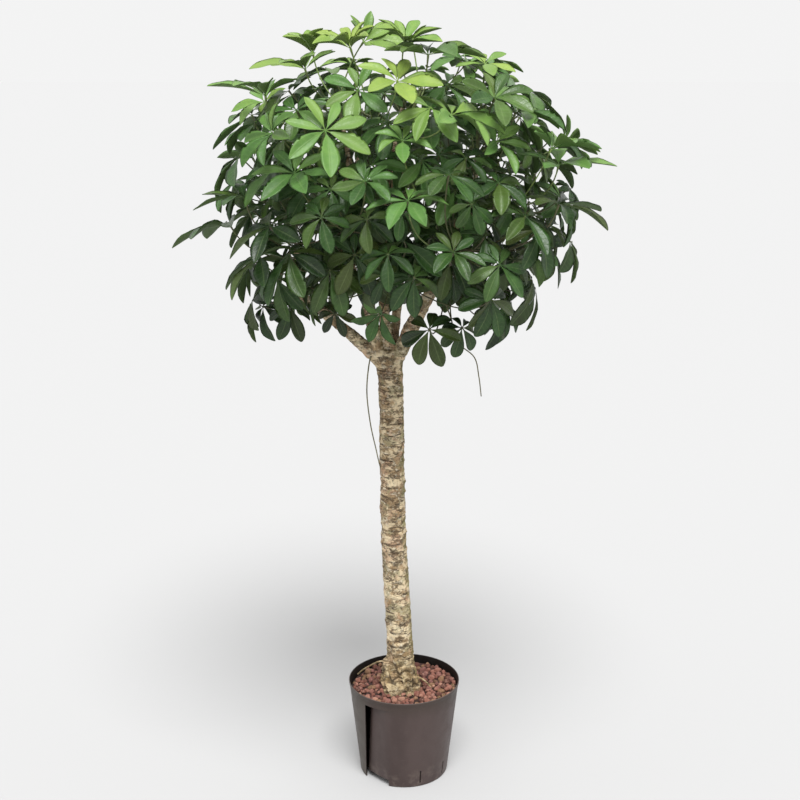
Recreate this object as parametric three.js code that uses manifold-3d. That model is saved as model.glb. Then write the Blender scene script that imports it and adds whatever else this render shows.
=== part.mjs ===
// A potted umbrella plant: a tall standard on one bare trunk, with a round crown of seven-fingered
// leaves, standing in a plastic pot of clay granules. Millimetres, +Z up, the front of the plant
// towards -Y. The origin is the centre of the underside of the pot.

import * as THREE from 'three';
import { mergeVertices } from 'three/addons/utils/BufferGeometryUtils.js';
import Module from 'manifold-3d';

const wasm = await Module();
wasm.setup();

// Driving dimensions of the pot

const POT_HEIGHT = 194;
const POT_RIM_RADIUS = 110;
const POT_FOOT_RADIUS = 88;
const POT_WALL = 2;
const POT_SIDES = 40;
const GROOVE_SIDE = -76;
const GROOVE_END = -20;
const GROOVE_DEPTH = 12;
const GROOVE_FOOT_DEPTH = 7;
const GROOVE_TOP = 175;
const FOOT_NOTCH_HEIGHT = 13;
const FOOT_NOTCH_DEPTH = 26;
const CUT_OVERSHOOT = 14;
const SLIT_WIDTH = 3;
const SLIT_BOTTOM = 8;
const SLIT_TOP = 36;
const SLIT_ANGLES = [21, 59, 97, 135, 173, 211, 249];

// Driving dimensions of the granules

const GRANULE_LEVEL = 176;
const GRANULE_MOUND = 3;
const GRANULE_MOUND_TURN = 150;
const GRANULE_RELIEF = 3.2;
const GRANULE_RINGS = 5;
const GRANULE_SEED = 5;
const GAP = 0.3;

// Driving dimensions of the trunk and its branches

const STUMP_DEPTH = 70;
const TRUNK_SIDES = 12;
const TRUNK_LINE = [
  { z: STUMP_DEPTH, x: -3, radius: 25 },
  { z: 130, x: -4, radius: 27 },
  { z: 163, x: -4, radius: 31, flare: 0.9 },
  { z: 177, x: -4, radius: 31, flare: 1 },
  { z: 194, x: -5, radius: 29, flare: 0.5 },
  { z: 222, x: -6, radius: 27.2 },
  { z: 290, x: -9, radius: 25.8 },
  { z: 380, x: -14, radius: 25 },
  { z: 470, x: -19, radius: 24.2 },
  { z: 560, x: -22, radius: 23.8 },
  { z: 650, x: -23, radius: 23.6 },
  { z: 740, x: -24, radius: 23.2 },
  { z: 810, x: -26, radius: 23.4 },
  { z: 848, x: -28, radius: 26.5 },
  { z: 872, x: -29, radius: 20 },
];
const ROOT_FLARES = [
  { turn: -100, reach: 12 },
  { turn: -35, reach: 9 },
  { turn: 40, reach: 10 },
  { turn: 105, reach: 12 },
  { turn: 185, reach: 10 },
];
const FLARE_WIDTH = 20;
const BRANCH_SIDES = 5;
const BRANCH_STEPS = 6;
const BRANCHES = [
  { // left
    from: 14,
    to: 5.5,
    route: [[-34, -2, 838], [-85, -4, 886], [-148, -12, 942], [-196, -20, 990], [-196, -22, 1056]],
  },
  { // centre left
    from: 12,
    to: 5.5,
    route: [[-44, -8, 842], [-64, -18, 950], [-66, -42, 1050], [-88, -62, 1140], [-98, -70, 1230]],
  },
  { // centre
    from: 12,
    to: 5,
    route: [[-26, 4, 845], [-38, -2, 950], [-30, 6, 1060], [-28, -4, 1170], [-14, -10, 1270]],
  },
  { // right
    from: 13,
    to: 5.5,
    route: [[-16, -2, 842], [12, -12, 918], [52, -26, 992], [102, -44, 1070], [124, -54, 1160]],
  },
  { // back right
    from: 11,
    to: 5,
    route: [[-14, 10, 842], [34, 54, 930], [78, 84, 1010], [100, 98, 1090], [102, 94, 1170]],
  },
  { // back left
    from: 11,
    to: 5,
    route: [[-36, 12, 842], [-68, 66, 930], [-100, 92, 1010], [-114, 102, 1090], [-108, 94, 1170]],
  },
  { // back
    from: 10,
    to: 5,
    route: [[-24, 14, 845], [-12, 60, 950], [-4, 88, 1050], [-4, 94, 1140], [-8, 88, 1220]],
  },
];
const AERIAL_ROOTS = [
  [
    [-58, -12, 872], [-66, -18, 842], [-70, -16, 790], [-64, -14, 730],
    [-54, -12, 680], [-44, -8, 636], [-30, -4, 612],
  ],
  [[60, -28, 1000], [84, -40, 940], [96, -44, 895], [128, -48, 866], [137, -50, 830], [142, -50, 792]],
];
const AERIAL_ROOT_RADIUS = 1.3;
const AERIAL_ROOT_STEPS = 8;
const AERIAL_ROOT_SIDES = 3;
const UNEVEN = 0.7;
const TRUNK_SEED = 11;
const STUMP_GAP = 0.5;

// Driving dimensions of the crown

const CROWN_CENTRE = new THREE.Vector3(-6, 0, 1158);
const CROWN_HALF = new THREE.Vector3(330, 310, 285);
const WIDEST_AT = 0.58;
const SHOOTS = 28;
const SHOOT_TIP_SCALE = 0.7;
const SHOOT_FOOT_SCALE = 0.4;
const SHOOT_LOWEST = -0.78;
const SHOOT_HIGHEST = 0.97;
const SHOOT_TURN_FIRST = 20;
const GOLDEN_ANGLE = 137.5;
const SHOOT_FOOT_DROP = 40;
const SHOOT_BEND = 22;
const SHOOT_ROOM = 16;
const SHOOT_THRIFT = 0.05;
const BEND_THRIFT = 1 / 16;
const MARKS_ON_LINE = 24;
const MARKS_ON_BRANCH = 64;
const BLADE_MARKS = [
  [1, 0], [0.8, -0.45], [0.8, 0.45], [WIDEST_AT, -1], [WIDEST_AT, 0], [WIDEST_AT, 1], [0.3, -0.5], [0.3, 0.5],
];
const SHOOT_SIDES = 3;
const TWIG_SIDES = 3;
const TWIG_RADIUS = 4.6;
const SHOOT_RADIUS = 3.6;
const YOUNG_RADIUS = 3.1;
const TIP_RADIUS = 2.4;
const GREEN_START = 0.4;
const YOUNG_START = 0.82;
const FILL_LEAVES = 44;
const FILL_HEIGHTS = [-0.8, 0.96];
const FILL_DEPTHS = [0.6, 0.99];
const FILL_REACH = [78, 106];
const LOW_DROOP = [30, 44];
const HIGH_DROOP = [8, 20];
const TIP_DISTANCE = [45, 85];
const TIP_DROOP = [-30, 0];
const TIP_REACH = [58, 78];
const CANDIDATES = 60;
const NUDGES = 80;
const NUDGE_STEP = 0.35;
const NUDGE_COST = 1 / 8;
const BEHIND_WORTH = 20;
const SEAT_CHOICES = 5;
const SEAT_MARGIN = 0.05;
const SEATS_TRIED = 10;
const SIDEWAYS_BENDS = [0, -24, 24, -48, 48];
const SHOWN_LEAFLETS = 7;
const OTHER_LEAFLETS = 6;
const LAYOUT_SEED = 18;
const LEAFLET_SWAY = 6;
const BACK_LEAFLET = 0.64;
const NOTCH = 0.15;
const HALF_WIDTH = 0.17;
const FOLD_LIFT = 0.075;
const BLADE_THICKNESS = 1;
const HUB_DEPTH = 2.4;
const PETIOLE_RADIUS = 1.25;
const PETIOLE_IDEAL = 95;
const PETIOLE_STRAIGHT = 0.5;
const SHORTEST_PETIOLE = 40;
const LONGEST_PETIOLE = 165;
const LEAST_BEHIND = 0.3;
const LEAF_CLEARANCE = 11;

// The leaves that the front shows, each by its hub, the way its umbrella faces (turn from the front
// towards +X, rise above level), how far its leaflets droop, and their length.

const SHOWN_LEAVES = [
  { hub: [-160, -20, 1405], turn: -30, rise: 75, droop: -45, reach: 75, young: true },
  { hub: [-168, -114, 1382], turn: -70, rise: 74, droop: -16, reach: 98, young: true },
  { hub: [-236, -116, 1338], turn: -75, rise: 84, droop: -16, reach: 100, young: true },
  { hub: [-178, -188, 1320], turn: -20, rise: 50, droop: 8, reach: 72, young: false },
  { hub: [-90, -128, 1410], turn: -45, rise: 68, droop: -28, reach: 84, young: true },
  { hub: [-74, -60, 1414], turn: 40, rise: 62, droop: -34, reach: 86, young: true },
  { hub: [-5, -110, 1425], turn: 30, rise: 70, droop: -24, reach: 86, young: true },
  { hub: [-12, -206, 1366], turn: 15, rise: 62, droop: -10, reach: 92, young: true },
  { hub: [16, -130, 1388], turn: 75, rise: 66, droop: -4, reach: 106, young: false },
  { hub: [-60, -214, 1352], turn: -5, rise: 50, droop: -8, reach: 76, young: false },
  { hub: [38, -232, 1330], turn: 5, rise: 42, droop: 2, reach: 82, young: true },
  { hub: [76, -240, 1318], turn: 70, rise: 60, droop: 2, reach: 104, young: true },
  { hub: [-4, -272, 1280], turn: 0, rise: 62, droop: -8, reach: 62, young: true },
  { hub: [-120, -252, 1280], turn: 20, rise: 48, droop: -4, reach: 94, young: true },
  { hub: [148, -190, 1338], turn: 20, rise: 52, droop: -14, reach: 84, young: false },
  { hub: [186, -176, 1318], turn: 80, rise: 70, droop: 2, reach: 96, young: false },
  { hub: [236, -170, 1282], turn: 78, rise: 82, droop: -16, reach: 98, young: true },
  { hub: [260, -166, 1226], turn: 74, rise: 82, droop: -6, reach: 110, young: true },
  { hub: [-180, -242, 1222], turn: -15, rise: 58, droop: -8, reach: 92, young: true },
  { hub: [-206, -206, 1264], turn: -35, rise: 42, droop: -6, reach: 78, young: false },
  { hub: [-270, -172, 1174], turn: -78, rise: 80, droop: -4, reach: 98, young: false },
  { hub: [-224, -220, 1132], turn: -55, rise: 56, droop: 12, reach: 94, young: false },
  { hub: [-290, -140, 1100], turn: -88, rise: 80, droop: -2, reach: 112, young: false },
  { hub: [-134, -276, 1156], turn: 0, rise: 34, droop: 18, reach: 66, young: false },
  { hub: [250, -194, 1166], turn: 80, rise: 64, droop: 4, reach: 96, young: false },
  { hub: [206, -220, 1158], turn: 55, rise: 50, droop: 16, reach: 86, young: false },
  { hub: [228, -214, 1118], turn: 60, rise: 60, droop: 38, reach: 82, young: false },
  { hub: [170, -244, 1086], turn: 15, rise: 24, droop: 18, reach: 74, young: true },
  { hub: [-248, -190, 1082], turn: -70, rise: 68, droop: 22, reach: 98, young: false },
  { hub: [-192, -226, 1088], turn: -45, rise: 60, droop: 34, reach: 98, young: false },
  { hub: [-152, -250, 1072], turn: 5, rise: 52, droop: 40, reach: 84, young: false },
  { hub: [-284, -20, 962], turn: -70, rise: 34, droop: 26, reach: 78, young: false },
  { hub: [-240, -60, 962], turn: -30, rise: 42, droop: 42, reach: 68, young: false },
  { hub: [-206, -90, 965], turn: 20, rise: 46, droop: 44, reach: 68, young: false },
  { hub: [-118, -120, 945], turn: 0, rise: 34, droop: 30, reach: 54, young: false },
  { hub: [-64, -286, 1214], turn: 0, rise: 52, droop: -4, reach: 70, young: false },
  { hub: [6, -302, 1186], turn: 0, rise: 70, droop: 5, reach: 82, young: true },
  { hub: [70, -284, 1224], turn: 25, rise: 68, droop: 14, reach: 72, young: false },
  { hub: [-28, -290, 1098], turn: -10, rise: 52, droop: 30, reach: 66, young: false },
  { hub: [78, -284, 1100], turn: 10, rise: 42, droop: -6, reach: 66, young: false },
  { hub: [16, -280, 1062], turn: 10, rise: 34, droop: 38, reach: 70, young: false },
  { hub: [44, -190, 948], turn: -10, rise: 34, droop: 36, reach: 76, young: false },
  { hub: [144, -220, 1008], turn: 30, rise: 36, droop: 22, reach: 74, young: false },
  { hub: [176, -100, 952], turn: 52, rise: 50, droop: 36, reach: 66, young: false },
  { hub: [104, -150, 936], turn: 20, rise: 42, droop: 48, reach: 62, young: false },
];

// Small helpers

function degrees(angle) {
  return angle * Math.PI / 180;
}

function mix(a, b, share) {
  return a + (b - a) * share;
}

/** Returns a function that gives the same sequence of draws from 0 to 1 for the same seed. */
function drawsFrom(seed) {
  let state = seed;
  return () => {
    state = (state * 48271) % 2147483647;
    return state / 2147483647;
  };
}

/** A unit vector that faces the given turn (0 is the front, 90 is +X) and rise above level. */
function facing(turn, rise) {
  const level = Math.cos(degrees(rise));
  return new THREE.Vector3(
    level * Math.sin(degrees(turn)),
    -level * Math.cos(degrees(turn)),
    Math.sin(degrees(rise)),
  );
}

function crownPoint(direction, scale) {
  return direction.clone().multiply(CROWN_HALF).multiplyScalar(scale).add(CROWN_CENTRE);
}

function smoothLine(points) {
  const places = points.map((point) => new THREE.Vector3(...point));
  return new THREE.CatmullRomCurve3(places, false, 'catmullrom', 0.5);
}

function bareGeometry(geometry) {
  const bare = geometry.clone();
  bare.deleteAttribute('normal');
  bare.deleteAttribute('uv');
  return mergeVertices(bare, 1e-4);
}

function solidFrom(geometry) {
  const bare = bareGeometry(geometry);
  return new wasm.Manifold(new wasm.Mesh({
    numProp: 3,
    vertProperties: new Float32Array(bare.attributes.position.array),
    triVerts: new Uint32Array(bare.index.array),
  }));
}

function geometryFrom(solid) {
  const mesh = solid.getMesh();
  const geometry = new THREE.BufferGeometry();
  geometry.setAttribute('position', new THREE.BufferAttribute(new Float32Array(mesh.vertProperties), 3));
  geometry.setIndex(new THREE.BufferAttribute(new Uint32Array(mesh.triVerts), 1));
  return geometry;
}

function fuse(solids) {
  return solids.reduce((whole, solid) => whole.add(solid));
}

function shellOf(vertices, triangles) {
  const geometry = new THREE.BufferGeometry();
  const numbers = vertices.flatMap((vertex) => vertex.toArray());
  geometry.setAttribute('position', new THREE.Float32BufferAttribute(numbers, 3));
  geometry.setIndex(triangles.flat());
  return geometry;
}

/** A closed limb through rings of equal corners, each with its place, heading and radius at corner i. */
function limb(rings, corners) {
  const vertices = [];
  const triangles = [];
  let side = Math.abs(rings[0].ahead.x) > 0.8 ? new THREE.Vector3(0, 1, 0) : new THREE.Vector3(1, 0, 0);
  rings.forEach(({ place, ahead, radiusAt }) => {
    side = side.clone().addScaledVector(ahead, -side.dot(ahead)).normalize();
    const across = ahead.clone().cross(side);
    for (let i = 0; i < corners; i += 1) {
      const angle = 2 * Math.PI * i / corners;
      vertices.push(place.clone()
        .addScaledVector(side, radiusAt(i) * Math.cos(angle))
        .addScaledVector(across, radiusAt(i) * Math.sin(angle)));
    }
  });
  for (let ring = 0; ring + 1 < rings.length; ring += 1) {
    for (let i = 0; i < corners; i += 1) {
      const a = ring * corners + i;
      const b = ring * corners + (i + 1) % corners;
      triangles.push([a, b, b + corners], [a, b + corners, a + corners]);
    }
  }
  const last = (rings.length - 1) * corners;
  for (let i = 1; i + 1 < corners; i += 1) {
    triangles.push([0, i + 1, i], [last, last + i, last + i + 1]);
  }
  return shellOf(vertices, triangles);
}

/** A limb along a stretch of a curve, tapering from one radius to the other. */
function taperedSolid(curve, stretch, steps, radii, corners) {
  const rings = [];
  for (let step = 0; step <= steps; step += 1) {
    const share = mix(stretch[0], stretch[1], step / steps);
    const radius = mix(radii[0], radii[1], step / steps);
    rings.push({ place: curve.getPoint(share), ahead: curve.getTangent(share), radiusAt: () => radius });
  }
  return solidFrom(limb(rings, corners));
}

// The layout of the crown: branches, shoots and leaves as lines and poses

const branchLines = BRANCHES.map((branch) => smoothLine(branch.route));

/** Where the branches can carry a twig: places along the outer part of each. */
function twigSeats() {
  const seats = [];
  branchLines.forEach((line) => {
    for (let step = 3; step <= 10; step += 1) {
      seats.push(line.getPoint(step / 10));
    }
  });
  return seats;
}

/** Each shoot is one bent line from its branch to its tip: woody first, then green, then young. */
function layShoots() {
  const seats = twigSeats();
  const taken = branchMarks();
  const shoots = [];
  for (let k = 0; k < SHOOTS; k += 1) {
    const height = mix(SHOOT_HIGHEST, SHOOT_LOWEST, k / (SHOOTS - 1));
    const turn = SHOOT_TURN_FIRST + GOLDEN_ANGLE * k;
    const direction = facing(turn, Math.asin(height) * 180 / Math.PI);
    const tip = crownPoint(direction, SHOOT_TIP_SCALE);
    const foot = crownPoint(direction, SHOOT_FOOT_SCALE);
    foot.z -= SHOOT_FOOT_DROP;
    const level = facing(turn + 90, 0);
    const near = [...seats].sort((a, b) => a.distanceTo(foot) - b.distanceTo(foot)).slice(0, SEATS_TRIED);
    let best = null;
    near.forEach((seat) => SIDEWAYS_BENDS.forEach((sideways) => {
      const bend = seat.clone().lerp(tip, 0.5).addScaledVector(level, sideways);
      bend.z += SHOOT_BEND;
      const line = new THREE.QuadraticBezierCurve3(seat, bend, tip);
      const room = clearance(lineMarks(line, GREEN_START / 2, 1), null, taken);
      const effort = SHOOT_THRIFT * seat.distanceTo(foot) + BEND_THRIFT * Math.abs(sideways);
      const score = Math.min(room, SHOOT_ROOM) - effort;
      if (!best || score > best.score) best = { line, score };
    }));
    lineMarks(best.line, 0, 1).forEach((place) => taken.push({ node: k, place, size: TWIG_RADIUS }));
    shoots.push({ line: best.line, direction });
  }
  return shoots;
}

/** Places along a line, from one share of it to another. */
function lineMarks(line, from, to) {
  const marks = [];
  for (let step = 0; step <= MARKS_ON_LINE; step += 1) {
    marks.push(line.getPoint(mix(from, to, step / MARKS_ON_LINE)));
  }
  return marks;
}

function branchMarks() {
  const taken = [];
  branchLines.forEach((line, index) => {
    for (let step = 0; step <= MARKS_ON_BRANCH; step += 1) {
      const share = step / MARKS_ON_BRANCH;
      const size = mix(BRANCHES[index].from, BRANCHES[index].to, share);
      taken.push({ node: 'trunk', place: line.getPoint(share), size });
    }
  });
  return taken;
}

/** The pose of one leaf: its hub, its axes, and the angle, length and droop of each leaflet. */
function leafPose({ hub, turn, rise, droop, reach, young, count }, draw) {
  const axis = facing(turn, rise);
  const forward = facing(turn, rise - 90);
  const across = axis.clone().cross(forward);
  const spin = draw();
  const leaflets = [];
  for (let i = 0; i < count; i += 1) {
    const angle = 360 * (i + spin) / count + mix(-LEAFLET_SWAY, LEAFLET_SWAY, draw());
    const length = reach * mix(BACK_LEAFLET, 1, (1 + Math.cos(degrees(angle))) / 2) * mix(0.94, 1.06, draw());
    leaflets.push({ angle, length, droop: droop + mix(-LEAFLET_SWAY, LEAFLET_SWAY, draw()) });
  }
  return { hub: hub.clone(), axis, forward, across, leaflets, young };
}

/** A point of a leaf: so far out in the direction of the angle, and so far up along its axis. */
function leafPoint(leaf, angle, out, sideways, up) {
  const cos = Math.cos(degrees(angle));
  const sin = Math.sin(degrees(angle));
  return leaf.hub.clone()
    .addScaledVector(leaf.forward, out * cos - sideways * sin)
    .addScaledVector(leaf.across, out * sin + sideways * cos)
    .addScaledVector(leaf.axis, up);
}

/** A point on a leaflet, at a share of its length and of its half width. */
function leafletPoint(leaf, leaflet, along, sideways) {
  const arc = along * leaflet.length;
  const lift = FOLD_LIFT * leaflet.length * Math.abs(sideways);
  return leafPoint(
    leaf,
    leaflet.angle,
    arc * Math.cos(degrees(leaflet.droop)),
    sideways * HALF_WIDTH * leaflet.length,
    lift - arc * Math.sin(degrees(leaflet.droop)),
  );
}

function petioleLine(leaf, seat) {
  const top = leaf.hub.clone().addScaledVector(leaf.axis, -HUB_DEPTH);
  const span = seat.distanceTo(top);
  const bend = leaf.hub.clone().addScaledVector(leaf.axis, -PETIOLE_STRAIGHT * span);
  return new THREE.QuadraticBezierCurve3(top, bend, seat);
}

/** The places on every shoot that can carry a leaf of the given age. */
function leafSeats(shoots, young) {
  const first = young ? YOUNG_START + SEAT_MARGIN : GREEN_START + SEAT_MARGIN;
  const last = young ? 1 - SEAT_MARGIN / 2 : YOUNG_START - 2 * SEAT_MARGIN;
  const seats = [];
  shoots.forEach((shoot, k) => {
    for (let step = 0; step <= 6; step += 1) {
      seats.push({ k, place: shoot.line.getPoint(mix(first, last, step / 6)) });
    }
  });
  return seats;
}

/** Gives a leaf its seat: of those that its petiole reaches most easily, the one chosen by number. */
function seatLeaf(leaf, seats, choice = 0) {
  const wanted = leaf.hub.clone().addScaledVector(leaf.axis, -PETIOLE_IDEAL);
  const strain = (seat) => seat.place.distanceTo(wanted);
  const best = [...seats].sort((a, b) => strain(a) - strain(b))[choice];
  leaf.shoot = best.k;
  leaf.node = `${leaf.young ? 'young' : 'shoot'} ${best.k}`;
  leaf.petiole = petioleLine(leaf, best.place);
  leaf.petioleLength = best.place.distanceTo(leaf.hub);
  leaf.behind = leaf.hub.clone().sub(best.place).dot(leaf.axis) / leaf.petioleLength;
}

/** The points by which a leaf's blade keeps clear of everything. */
function bladeMarks(leaf) {
  const marks = [leaf.hub];
  leaf.leaflets.forEach((leaflet) => {
    BLADE_MARKS.forEach(([along, sideways]) => marks.push(leafletPoint(leaf, leaflet, along, sideways)));
  });
  return marks;
}

function petioleMarks(leaf) {
  return [0.12, 0.24, 0.36, 0.48, 0.6, 0.72, 0.84].map((share) => leaf.petiole.getPoint(share));
}

/** The least distance from the marks to what is taken, apart from the stem of their own node. */
function clearance(marks, node, taken) {
  let least = Infinity;
  for (const other of taken) {
    if (other.blade || other.node !== node) {
      for (const mark of marks) {
        const distance = mark.distanceTo(other.place) - other.size;
        if (distance < least) least = distance;
      }
      if (least < 0) break;
    }
  }
  return least;
}

/** The room that a leaf has among what is already there. */
function roomFor(leaf, taken) {
  return Math.min(clearance(bladeMarks(leaf), null, taken), clearance(petioleMarks(leaf), leaf.node, taken));
}

/** The wood and the green stems, as marks to keep clear of. */
function stemMarks(shoots) {
  const taken = branchMarks();
  shoots.forEach((shoot, k) => {
    lineMarks(shoot.line, 0, 1).forEach((place, step) => {
      const share = step / MARKS_ON_LINE;
      const node = share < GREEN_START ? 'trunk' : share < YOUNG_START ? `shoot ${k}` : `young ${k}`;
      taken.push({ node, place, size: TWIG_RADIUS });
    });
  });
  return taken;
}

/** Lays all leaves: the shown ones, one at each bare tip, then fillers where there is most room. */
function layLeaves(shoots) {
  const draw = drawsFrom(LAYOUT_SEED);
  const youngSeats = leafSeats(shoots, true);
  const matureSeats = leafSeats(shoots, false);
  const taken = stemMarks(shoots);
  const leaves = [];

  function keep(leaf) {
    bladeMarks(leaf).forEach((place) => taken.push({ node: leaf.node, place, size: 0, blade: true }));
    petioleMarks(leaf).forEach((place) => taken.push({ node: leaf.node, place, size: PETIOLE_RADIUS }));
    leaves.push(leaf);
  }

  SHOWN_LEAVES.forEach((shown) => {
    let best = null;
    for (let tries = 0; tries < NUDGES; tries += 1) {
      const nudge = tries * NUDGE_STEP;
      const hub = new THREE.Vector3(...shown.hub);
      const shift = new THREE.Vector3(mix(-1, 1, draw()), mix(-2, 2, draw()), mix(-1, 1, draw()));
      hub.addScaledVector(shift, nudge);
      const turn = shown.turn + mix(-1, 1, draw()) * nudge;
      const rise = shown.rise + mix(-1, 1, draw()) * nudge;
      const leaf = leafPose({ ...shown, hub, turn, rise, count: SHOWN_LEAFLETS }, draw);
      seatLeaf(leaf, leaf.young ? youngSeats : matureSeats, (tries % SEAT_CHOICES) * 3);
      const worth = Math.min(roomFor(leaf, taken), LEAF_CLEARANCE, BEHIND_WORTH * leaf.behind);
      leaf.room = worth - nudge * NUDGE_COST;
      if (!best || leaf.room > best.room) best = leaf;
    }
    keep(best);
  });

  shoots.forEach((shoot, k) => {
    if (leaves.some((leaf) => leaf.young && leaf.shoot === k)) return;
    const ownSeats = youngSeats.filter((seat) => seat.k === k);
    let best = null;
    for (let tries = 0; tries < CANDIDATES; tries += 1) {
      const way = new THREE.Vector3(mix(-1, 1, draw()), mix(-1, 1, draw()), mix(0.2, 1.4, draw()))
        .multiplyScalar(0.7).add(shoot.direction).normalize();
      const hub = shoot.line.getPoint(1).addScaledVector(way, mix(...TIP_DISTANCE, draw()));
      const droop = mix(...TIP_DROOP, draw());
      const reach = mix(...TIP_REACH, draw());
      const pose = { hub, ...turnAndRise(way), droop, reach, young: true, count: OTHER_LEAFLETS };
      const leaf = leafPose(pose, draw);
      seatLeaf(leaf, ownSeats);
      leaf.room = roomFor(leaf, taken);
      if (!best || leaf.room > best.room) best = leaf;
    }
    keep(best);
  });

  for (let count = 0; count < FILL_LEAVES; count += 1) {
    let best = null;
    for (let tries = 0; tries < CANDIDATES; tries += 1) {
      const height = mix(...FILL_HEIGHTS, draw());
      const direction = facing(360 * draw(), Math.asin(height) * 180 / Math.PI);
      const hub = crownPoint(direction, Math.sqrt(mix(FILL_DEPTHS[0] ** 2, FILL_DEPTHS[1] ** 2, draw())));
      const lean = new THREE.Vector3(mix(-0.3, 0.3, draw()), mix(-0.3, 0.3, draw()), mix(0.5, 0.9, draw()));
      const way = direction.clone().multiplyScalar(mix(0.5, 0.9, draw())).add(lean).normalize();
      const low = (FILL_HEIGHTS[1] - height) / (FILL_HEIGHTS[1] - FILL_HEIGHTS[0]);
      const droop = mix(mix(HIGH_DROOP[0], LOW_DROOP[0], low), mix(HIGH_DROOP[1], LOW_DROOP[1], low), draw());
      const reach = mix(...FILL_REACH, draw());
      const pose = { hub, ...turnAndRise(way), droop, reach, young: false, count: OTHER_LEAFLETS };
      const leaf = leafPose(pose, draw);
      seatLeaf(leaf, matureSeats);
      const reachable = leaf.petioleLength < LONGEST_PETIOLE && leaf.petioleLength > SHORTEST_PETIOLE
        && leaf.behind > LEAST_BEHIND;
      leaf.room = Math.min(...leaves.map((other) => other.hub.distanceTo(hub)));
      if (!reachable || (best && leaf.room <= best.room)) continue;
      if (roomFor(leaf, taken) >= LEAF_CLEARANCE) best = leaf;
    }
    if (best) keep(best);
  }
  return leaves;
}

function turnAndRise(way) {
  return {
    turn: Math.atan2(way.x, -way.y) * 180 / Math.PI,
    rise: Math.asin(way.z) * 180 / Math.PI,
  };
}

// Solids of the crown

/** One leaf with its petiole, as one closed shell. */
function leafShell(leaf) {
  const top = [];
  const angles = [];
  leaf.leaflets.forEach((leaflet, i) => {
    const next = leaf.leaflets[(i + 1) % leaf.leaflets.length];
    const turned = i + 1 < leaf.leaflets.length ? next.angle : next.angle + 360;
    const between = (leaflet.angle + turned) / 2;
    const notch = NOTCH * (leaflet.length + next.length) / 2;
    const notchDroop = degrees((leaflet.droop + next.droop) / 2);
    top.push(leafletPoint(leaf, leaflet, WIDEST_AT, -1), leafletPoint(leaf, leaflet, 1, 0));
    top.push(leafletPoint(leaf, leaflet, WIDEST_AT, 1));
    top.push(leafPoint(leaf, between, notch * Math.cos(notchDroop), 0, -notch * Math.sin(notchDroop)));
    angles.push(leaflet.angle - 16, leaflet.angle, leaflet.angle + 16, between);
  });
  const under = top.map((point) => point.clone().addScaledVector(leaf.axis, -BLADE_THICKNESS));
  const vertices = [leaf.hub.clone(), ...top, ...under];
  const size = top.length;
  const firstTop = 1;
  const firstUnder = 1 + size;
  const firstRing = 1 + 2 * size;
  const triangles = [];
  for (let j = 0; j < size; j += 1) {
    const a = j;
    const b = (j + 1) % size;
    triangles.push([0, firstTop + a, firstTop + b]);
    triangles.push([firstTop + a, firstUnder + a, firstUnder + b]);
    triangles.push([firstTop + a, firstUnder + b, firstTop + b]);
  }
  let side = leaf.forward;
  [0, 0.5, 1].forEach((share) => {
    const place = leaf.petiole.getPoint(share);
    const ahead = leaf.petiole.getTangent(share);
    side = side.clone().addScaledVector(ahead, -side.dot(ahead)).normalize();
    const across = ahead.clone().cross(side);
    for (let i = 0; i < 3; i += 1) {
      vertices.push(place.clone()
        .addScaledVector(side, PETIOLE_RADIUS * Math.cos(2 * Math.PI * i / 3))
        .addScaledVector(across, -PETIOLE_RADIUS * Math.sin(2 * Math.PI * i / 3)));
    }
  });
  const ringAt = (angle) => Math.round(angle / 120);
  const around = (index) => firstRing + ((index % 3) + 3) % 3;
  for (let j = 0; j < size; j += 1) {
    const b = (j + 1) % size;
    const here = angles[j];
    const there = b === 0 ? angles[0] + 360 : angles[b];
    const later = b === 0 ? angles[1] + 360 : (b + 1 < size ? angles[b + 1] : angles[0] + 360);
    const spoke = ringAt((here + there) / 2);
    const nextSpoke = ringAt((there + later) / 2);
    triangles.push([around(spoke), firstUnder + b, firstUnder + j]);
    if (nextSpoke !== spoke) {
      triangles.push([firstUnder + b, around(spoke), around(nextSpoke)]);
    }
  }
  for (let ring = 0; ring < 2; ring += 1) {
    for (let i = 0; i < 3; i += 1) {
      const a = firstRing + ring * 3 + i;
      const b = firstRing + ring * 3 + (i + 1) % 3;
      triangles.push([a, a + 3, b + 3], [a, b + 3, b]);
    }
  }
  triangles.push([firstRing + 6, firstRing + 8, firstRing + 7]);
  return shellOf(vertices, triangles);
}

/** The stem of one node with all the leaves that the node carries, fused. */
function leafySolid(node, stem, leaves) {
  const own = leaves.filter((leaf) => leaf.node === node);
  return fuse([stem, ...own.map((leaf) => solidFrom(leafShell(leaf)))]);
}


// The wood

/** How far the roots swell the foot of the trunk in a direction, given as an angle from +X. */
function flareAt(angle) {
  return ROOT_FLARES.reduce((sum, root) => {
    const apart = Math.abs(((angle - (root.turn - 90)) % 360 + 540) % 360 - 180);
    return sum + root.reach * Math.exp(-((apart / FLARE_WIDTH) ** 2));
  }, 0);
}

/** The trunk as a limb, as thick as it is or swollen to cut the hole that it stands in. */
function trunkLimb(swell) {
  const draw = drawsFrom(TRUNK_SEED);
  return limb(TRUNK_LINE.map(({ x, z, radius, flare = 0 }, ring) => {
    const bumps = Array.from({ length: TRUNK_SIDES }, () => mix(-UNEVEN, UNEVEN, draw()));
    return {
      place: new THREE.Vector3(x, 0, ring === 0 ? z - swell : z),
      ahead: new THREE.Vector3(0, 0, 1),
      radiusAt: (i) => radius + swell + bumps[i] + flare * flareAt(360 * i / TRUNK_SIDES),
    };
  }), TRUNK_SIDES);
}

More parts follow.
